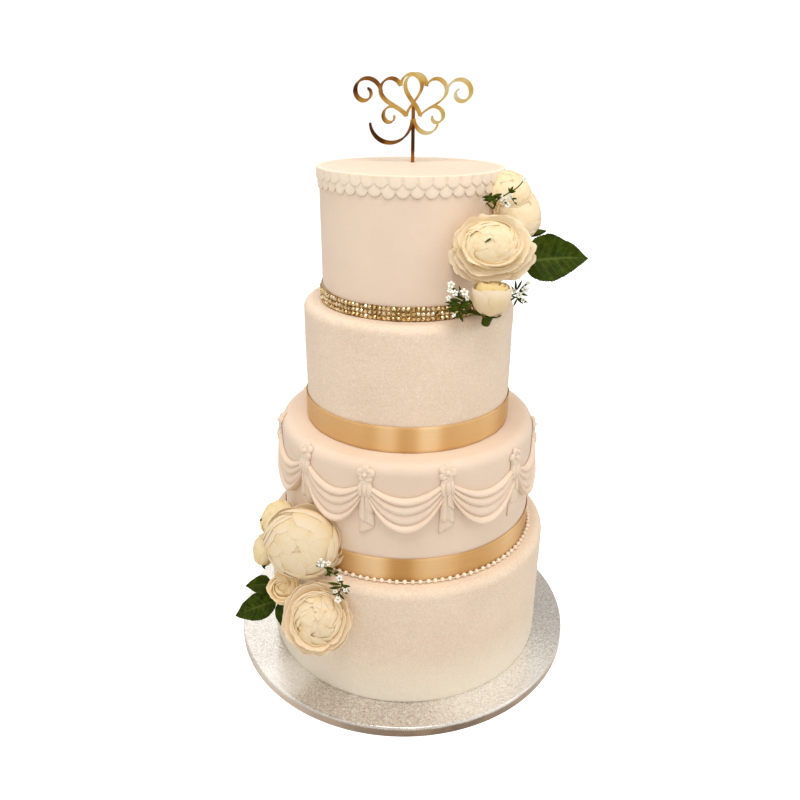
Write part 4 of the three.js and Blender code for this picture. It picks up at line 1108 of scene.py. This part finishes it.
def make_leaf(name, seed):
    base, tip, up, width, bend, root = (np.asarray(x, float) if isinstance(x, tuple) else x for x in LEAVES[name])
    rng = np.random.default_rng(seed)
    d = tip - base
    L = np.linalg.norm(d)
    d = d / L
    side = unit(np.cross(d, unit(up)))
    n = np.cross(side, d)
    nu, nv = 25, 51
    s = np.linspace(-1, 1, nu)[:, None]
    t = np.linspace(0, 1, nv)[None]
    half = width / 2 * np.clip(np.sin(PI * t ** 0.6), 0, 1) ** 0.92
    teeth = 22
    saw = (t * teeth) % 1.0
    half = half * (1 - 0.05 * (1 - saw) * np.clip(np.abs(s) - 0.72, 0, 1) / 0.28) + 0.25
    x = s * half
    y = t * L
    vein_phase = t * 9 - 1.5 * np.abs(s)
    line = np.exp(-((vein_phase - np.round(vein_phase)) / 0.075) ** 2) * np.clip(1.1 - np.abs(s), 0, 1)
    mid = np.exp(-(s / 0.06) ** 2)
    z = bend * np.sin(PI * t) + 0.1 * width * np.abs(s) ** 1.3 * np.sin(PI * t ** 0.9) - 0.35 * line - 0.7 * mid * (1 - 0.6 * t)
    z = z + 0.035 * width * np.sin(5.5 * t * PI + rng.uniform(0, 6)) * s ** 2 * np.sign(s)
    P = base + x[..., None] * side + y[..., None] * d + z[..., None] * n
    vein = np.clip(np.maximum(line * 0.7, mid), 0, 1)
    out = [shell(P, 0.7, tone=0.0, vein=vein)]
    path = smooth_path([root, root * 0.4 + base * 0.6 - n * 1.0, base + d * 3 - n * 0.5, base + d * L * 0.35 + n * (bend * 0.85 - 0.9)], 8)
    out.append(tube(path, np.linspace(1.3, 0.55, len(path)), 8, tone=0.35))
    piece(name + "_blade", out, LEAF, name, sharp=60)


# ---------------------------------------------------------------- sprigs of small white flowers


def sprig_blossom(c, facing, r, rng, dark):
    F = bloom_frame(facing)
    out = []
    spin = rng.uniform(0, 6)
    for i in range(5):
        nu, nv = 7, 6
        s = np.linspace(-1, 1, nu)[:, None]
        q = np.linspace(0, 1, nv)[None]
        t = q * (1 - 0.3 * np.abs(s) ** 2.5)
        rho = 0.14 + 0.86 * t
        a = spin + i * 2 * PI / 5 + rng.normal(0, 0.05) + s * 0.56 * np.sin(np.clip(t * 1.9 + 0.35, 0, PI)) ** 0.7
        h = 0.28 * t - 0.3 * t ** 3 + 0.1 * (1 - s * s) * t
        P = np.stack([rho * np.cos(a), rho * np.sin(a), h], -1)
        g = shell(P, 0.3 / r, m=1, tone=0.25 + 0.75 * t ** 0.5)
        g["v"] = c + r * (g["v"] @ F)
        out.append(g)
    g = ball((0, 0, 0), 0.2, 8, 5, 0.9, m=1, tone=0.0 if dark else 0.16)
    g["v"] = c + r * ((g["v"] + [0, 0, 0.1]) @ F)
    out.append(g)
    out.append(tube([c - F[2] * r * 0.9, c - F[2] * r * 0.5, c - F[2] * r * 0.15, c + F[2] * r * 0.02], [0.3, 0.5, r * 0.22, r * 0.2], 7, tone=0.5))
    return out


def needle(a, b, w):
    p = smooth_path([a, (a + b) / 2 + TOWARDS * 0.6, b], 4)
    t = np.linspace(0, 1, len(p))
    return tube(p, w / 2 * np.clip(np.sin(PI * (0.12 + 0.84 * t)), 0.12, 1), 6, tone=0.06)


# centre, stems, needles (from, to, width), blossoms (place, radius, dark eye), all as (across, up, towards) from the centre
SPRIGS = {
    "sprig_1": ((41, -95, 399), (30, -70, 400),
        [[(12, -6, -14), (6, -2, -5), (1, -3, 0), (-7, 6, 1)], [(6, -2, -5), (1, -8, -1), (0, -18, 0)]],
        [((1, -5, 0), (-9, -4, 2), 3.2), ((1, -6, 0), (8, -6, 2), 3.2), ((0, -8, 0), (-10, -9, 2), 3.3), ((0, -9, 0), (8, -11, 2), 3.2), ((0, -11, 0), (-9, -14, 2), 3.3), ((0, -12, 0), (7, -16, 2), 3.2), ((0, -14, 0), (-5, -20, 2), 3.0), ((0, -15, 0), (3, -22, 2), 3.0), ((1, -3, 0), (-6, 1, 2), 2.4), ((2, -1, 0), (-1, 7, 2), 2.2), ((0, 0, 0), (-6, 6, 2), 2.0), ((-1, -7, 1), (-12, -6.5, 2), 2.4), ((0, -10, 1), (-11, -12, 2), 2.4), ((1, -8, 1), (9, -8.5, 3), 2.4)],
        [((-7.2, 7.7, 2), 3.2, False), ((-4.1, 0.9, 3), 2.8, False), ((3.5, 1.6, 3), 3.6, False), ((-8, 3.1, 2), 2.6, False), ((5.7, -3, 3), 2.4, False), ((-9, -3, 2), 2.2, True), ((-4.5, -17, 2.5), 2.0, False)]),
    "sprig_2": ((92, -74, 396), (58, -44, 397),
        [[(-12, -2, -14), (-7, -2, -5), (0, 0, 0), (5, 5, 1)], [(-7, -2, -5), (-1, -5, 0), (5, -9, 1)]],
        [((-3, 0, 0), (-3.5, 10, 2), 2.2), ((-2, 2, 0), (2, 10, 2), 2.0), ((0, 1, 0), (7, 8, 2), 2.2), ((1, 0, 0), (8, 3, 2), 2.2), ((0, -1, 0), (7, -3, 2), 2.2), ((-3, -4, 0), (-11, -9, 2), 1.9), ((-2, -5, 0), (3, -10, 2), 2.1), ((-1, -4, 0), (7, -9, 2), 2.0), ((-3, -2, 0), (-7, 5, 2), 2.0), ((-2, -6, 0), (-5, -12, 2), 2.0)],
        [((4.2, 2, 3), 3.2, False), ((-0.4, -2.8, 3), 2.8, False), ((-5, 0.5, 3), 2.4, False), ((7, 7.5, 2), 2.2, False), ((3, -7, 3), 2.4, True)]),
    "sprig_3": ((72, -60, 472), (60, -44, 468),
        [[(-4, -8, -8), (-2, -4, 0), (6, 1, 2), (14, 6, 2), (20, 13, 1)], [(-2, -4, 0), (-8, -3, 3), (-14, -2, 3)]],
        [((-3, -2.5, 3), (-14, -2, 4), 3.6), ((-3, -3, 3), (-13.5, -4.8, 4), 3.6), ((-6, -2, 3), (1.8, 0.6, 4), 2.8), ((-5, -3, 3), (-3, -9, 4), 3.4), ((-4, -2, 3), (1.6, -2.6, 4), 2.4), ((-9, -2, 3), (-6, 1.4, 4), 2.2), ((-7, -3, 3), (-9, -7, 4), 2.6), ((8, 2, 2), (11, 7, 3), 2.4), ((8, 2, 2), (13, 3, 3), 2.2), ((9, 1, 2), (7, 6, 3), 2.0), ((10, -3, 3), (14, -3.5, 4), 1.6), ((4, -6, 3), (6, -7.5, 4), 1.5), ((12, -6, 3), (14, -8, 4), 1.4), ((8, 1, 2), (10, -3, 3), 1.2), ((10, -3, 3), (12, -6, 3), 1.0), ((1, -5, 2), (4, -6, 3), 1.2)],
        [((3.5, -4.5, 4), 3.0, False), ((8.5, -1.5, 4), 2.7, False), ((6.5, -8.5, 4), 2.4, True), ((20, 13, 2), 2.3, False), ((0.5, -1, 3), 2.2, False)]),
    "sprig_4": ((-65.5, -134, 145.8), (-70, -96, 141),
        [[(-6, 6, -22), (-8, 12, -10), (-10, 15, 2), (-2, 9, 4), (7, 3, 4), (9, -4, 4), (6, -14, 4)], [(7, 3, 4), (11, -4, 5), (16, -9, 4)]],
        [((-5, 12, 3), (2, 11, 5), 2.6), ((-4, 11, 3), (-1, 4, 5), 2.6), ((-7, 13, 3), (-15, 14, 4), 2.1), ((-8, 14, 3), (-16, 18.5, 4), 2.1), ((0, 8, 4), (-6, 5, 5), 2.4), ((2, 7, 4), (7, 9, 5), 2.2), ((8, -3, 4), (-3, -1, 5), 2.6), ((8.5, -5, 4), (-2, -6, 5), 2.6), ((9, -4, 4), (17, -4, 5), 2.6), ((9, -7, 4), (15, -11, 5), 2.5), ((8, -9, 4), (1, -12, 5), 2.2), ((7, -11, 4), (12, -16, 5), 2.2), ((5, 0, 4), (11, 0, 5), 2.2)],
        [((-9.6, 16.7, 5), 4.6, False), ((7.1, 3.2, 6), 2.9, True), ((6, -16, 5), 3.2, False), ((3.5, -8.5, 6), 2.4, False), ((12.5, -7.5, 6), 2.4, False), ((-3, 16, 4), 2.4, False)]),
}


def make_sprig(name, seed):
    centre, root, stems, needles, flowers = SPRIGS[name]
    rng = np.random.default_rng(seed)
    C = np.asarray(centre, float)

    def at(p):
        return C + p[0] * ACROSS + p[1] * RISE + p[2] * TOWARDS

    out = []
    for k, s in enumerate(stems):
        pts = [at(p) for p in s]
        if k == 0:
            pts = [np.asarray(root, float)] + pts
        path = smooth_path(pts, 8)
        out.append(tube(path, np.linspace(0.75, 0.45, len(path)), 7, tone=0.3))
    for a, b, w in needles:
        out.append(needle(at(a), at(b), w))
    for p, r, dark in flowers:
        facing = TOWARDS + 0.35 * np.array([rng.normal(), rng.normal() * 0.5, rng.normal()]) + 0.25 * RISE
        out += sprig_blossom(at(p), facing, r, rng, dark)
    piece(name + "_spray", out, [LEAF, BLOSSOM], name)


# ---------------------------------------------------------------- make everything
make_board()
make_tier("tier_1", 21, 0.13, ICING_GRAIN)
make_tier("tier_2", 22, 0.0, ICING_TOP)
make_tier("tier_3", 23, 0.13, ICING_GRAIN)
make_tier("tier_4", 24, 0.0, ICING_TOP)
# the lists give the ribbons' painted highlight and shade bands: angle from the front, width, how much lighter or darker
make_ribbon("tier_2", 31, [(-2, 6, -0.36), (14, 8, 0.28), (-15, 7, 0.26), (-36, 9, -0.3), (38, 11, -0.1), (60, 8, -0.04)], 0.05)
make_ribbon("tier_3", 32, [(-10.5, 6, 0.26), (0, 5, -0.12), (12, 6, 0.28), (48, 6, 0.07), (66, 9, -0.14), (-45, 14, -0.06)], 0.014)
make_gems()
make_pearls()
make_scallops("scallop_lower", 80.65, 1.25, 485.6, 471.9, 5.8, 0.0, 51, True)
make_scallops("scallop_upper", 81.2, 1.7, 489.1, 479.1, 5.2, 0.5, 52, False)
for number in range(10):
    make_swag(number)
    make_drop(number)
    make_rosette(number)
make_topper()
for flower in FLOWERS:
    make_rose(flower)
for number, leaf_name in enumerate(LEAVES):
    make_leaf(leaf_name, 200 + number)
for number, sprig_name in enumerate(SPRIGS):
    make_sprig(sprig_name, 300 + number)

# ---------------------------------------------------------------- floor, light and camera
scene = bpy.context.scene
floor_mesh = bpy.data.meshes.new("floor")
floor_mesh.from_pydata([(-6, -6, 0), (6, -6, 0), (6, 6, 0), (-6, 6, 0)], [], [(0, 1, 2, 3)])
floor = bpy.data.objects.new("floor", floor_mesh)
scene.collection.objects.link(floor)
fm = Mat("floor_white")
fm.set(Base_Color=fm.ramp(fm.noise(3, 2), [(0.3, (0.80, 0.80, 0.80, 1)), (0.7, (0.82, 0.82, 0.82, 1))]), Roughness=0.9, Specular_IOR_Level=0.1)
seen = fm.t.nodes.new("ShaderNodeLightPath").outputs["Is Camera Ray"]
fm.set(Emission_Color=(1, 1, 1, 1), Emission_Strength=fm.math("MULTIPLY", seen, 0.72))
floor_mesh.materials.append(fm.m)

world = bpy.data.worlds.new("studio")
scene.world = world
world.use_nodes = True
wt = world.node_tree
wt.nodes.clear()
wo = wt.nodes.new("ShaderNodeOutputWorld")
bg = wt.nodes.new("ShaderNodeBackground")
see = wt.nodes.new("ShaderNodeBackground")
lp = wt.nodes.new("ShaderNodeLightPath")
mx = wt.nodes.new("ShaderNodeMixShader")
bg.inputs[0].default_value, bg.inputs[1].default_value = (1.0, 0.985, 0.96, 1), 0.66
see.inputs[0].default_value, see.inputs[1].default_value = (1, 1, 1, 1), 1.05
wt.links.new(lp.outputs["Is Camera Ray"], mx.inputs[0])
wt.links.new(bg.outputs[0], mx.inputs[1])
wt.links.new(see.outputs[0], mx.inputs[2])
wt.links.new(mx.outputs[0], wo.inputs[0])


def area(name, at, to, size, power, colour=(1, 1, 1)):
    l = bpy.data.lights.new(name, "AREA")
    l.shape, l.size, l.energy, l.color = "DISK", size, power, colour
    o = bpy.data.objects.new(name, l)
    o.location = at
    o.rotation_euler = (Vector(to) - Vector(at)).to_track_quat("-Z", "Y").to_euler()
    o.visible_camera = False
    scene.collection.objects.link(o)


area("overhead", (0.02, -0.5, 1.4), (0, 0, 0.3), 0.7, 7.0, (1, 0.97, 0.93))
area("front", (0.15, -0.95, 0.85), (0, 0, 0.3), 0.5, 0.3, (1, 0.97, 0.93))
area("right", (0.95, -0.3, 0.85), (0, 0, 0.45), 0.7, 2.0, (1, 0.97, 0.93))
area("left", (-1.0, -0.3, 0.65), (0, 0, 0.45), 0.8, 1.0, (1, 0.97, 0.93))
area("window", (-0.7, 1.05, 1.1), (-0.1, -0.1, 0.02), 1.3, 3.0)

cam_data = bpy.data.cameras.new("camera")
cam_data.lens, cam_data.sensor_width = 32.98, 36
cam_data.clip_start, cam_data.clip_end = 0.01, 50
cam = bpy.data.objects.new("camera", cam_data)
cam.location = (0, -0.6713, 0.5563)
cam.rotation_mode = "QUATERNION"
cam.rotation_quaternion = Vector((-0.0101, 0.9171, -0.3986)).to_track_quat("-Z", "Y") @ Quaternion((0, 0, 1), 0.009)
scene.collection.objects.link(cam)
scene.camera = cam
scene.view_settings.view_transform = "Standard"
scene.view_settings.look = "None"
scene.view_settings.exposure = 0
scene.view_settings.gamma = 1

bpy.context.view_layer.update()
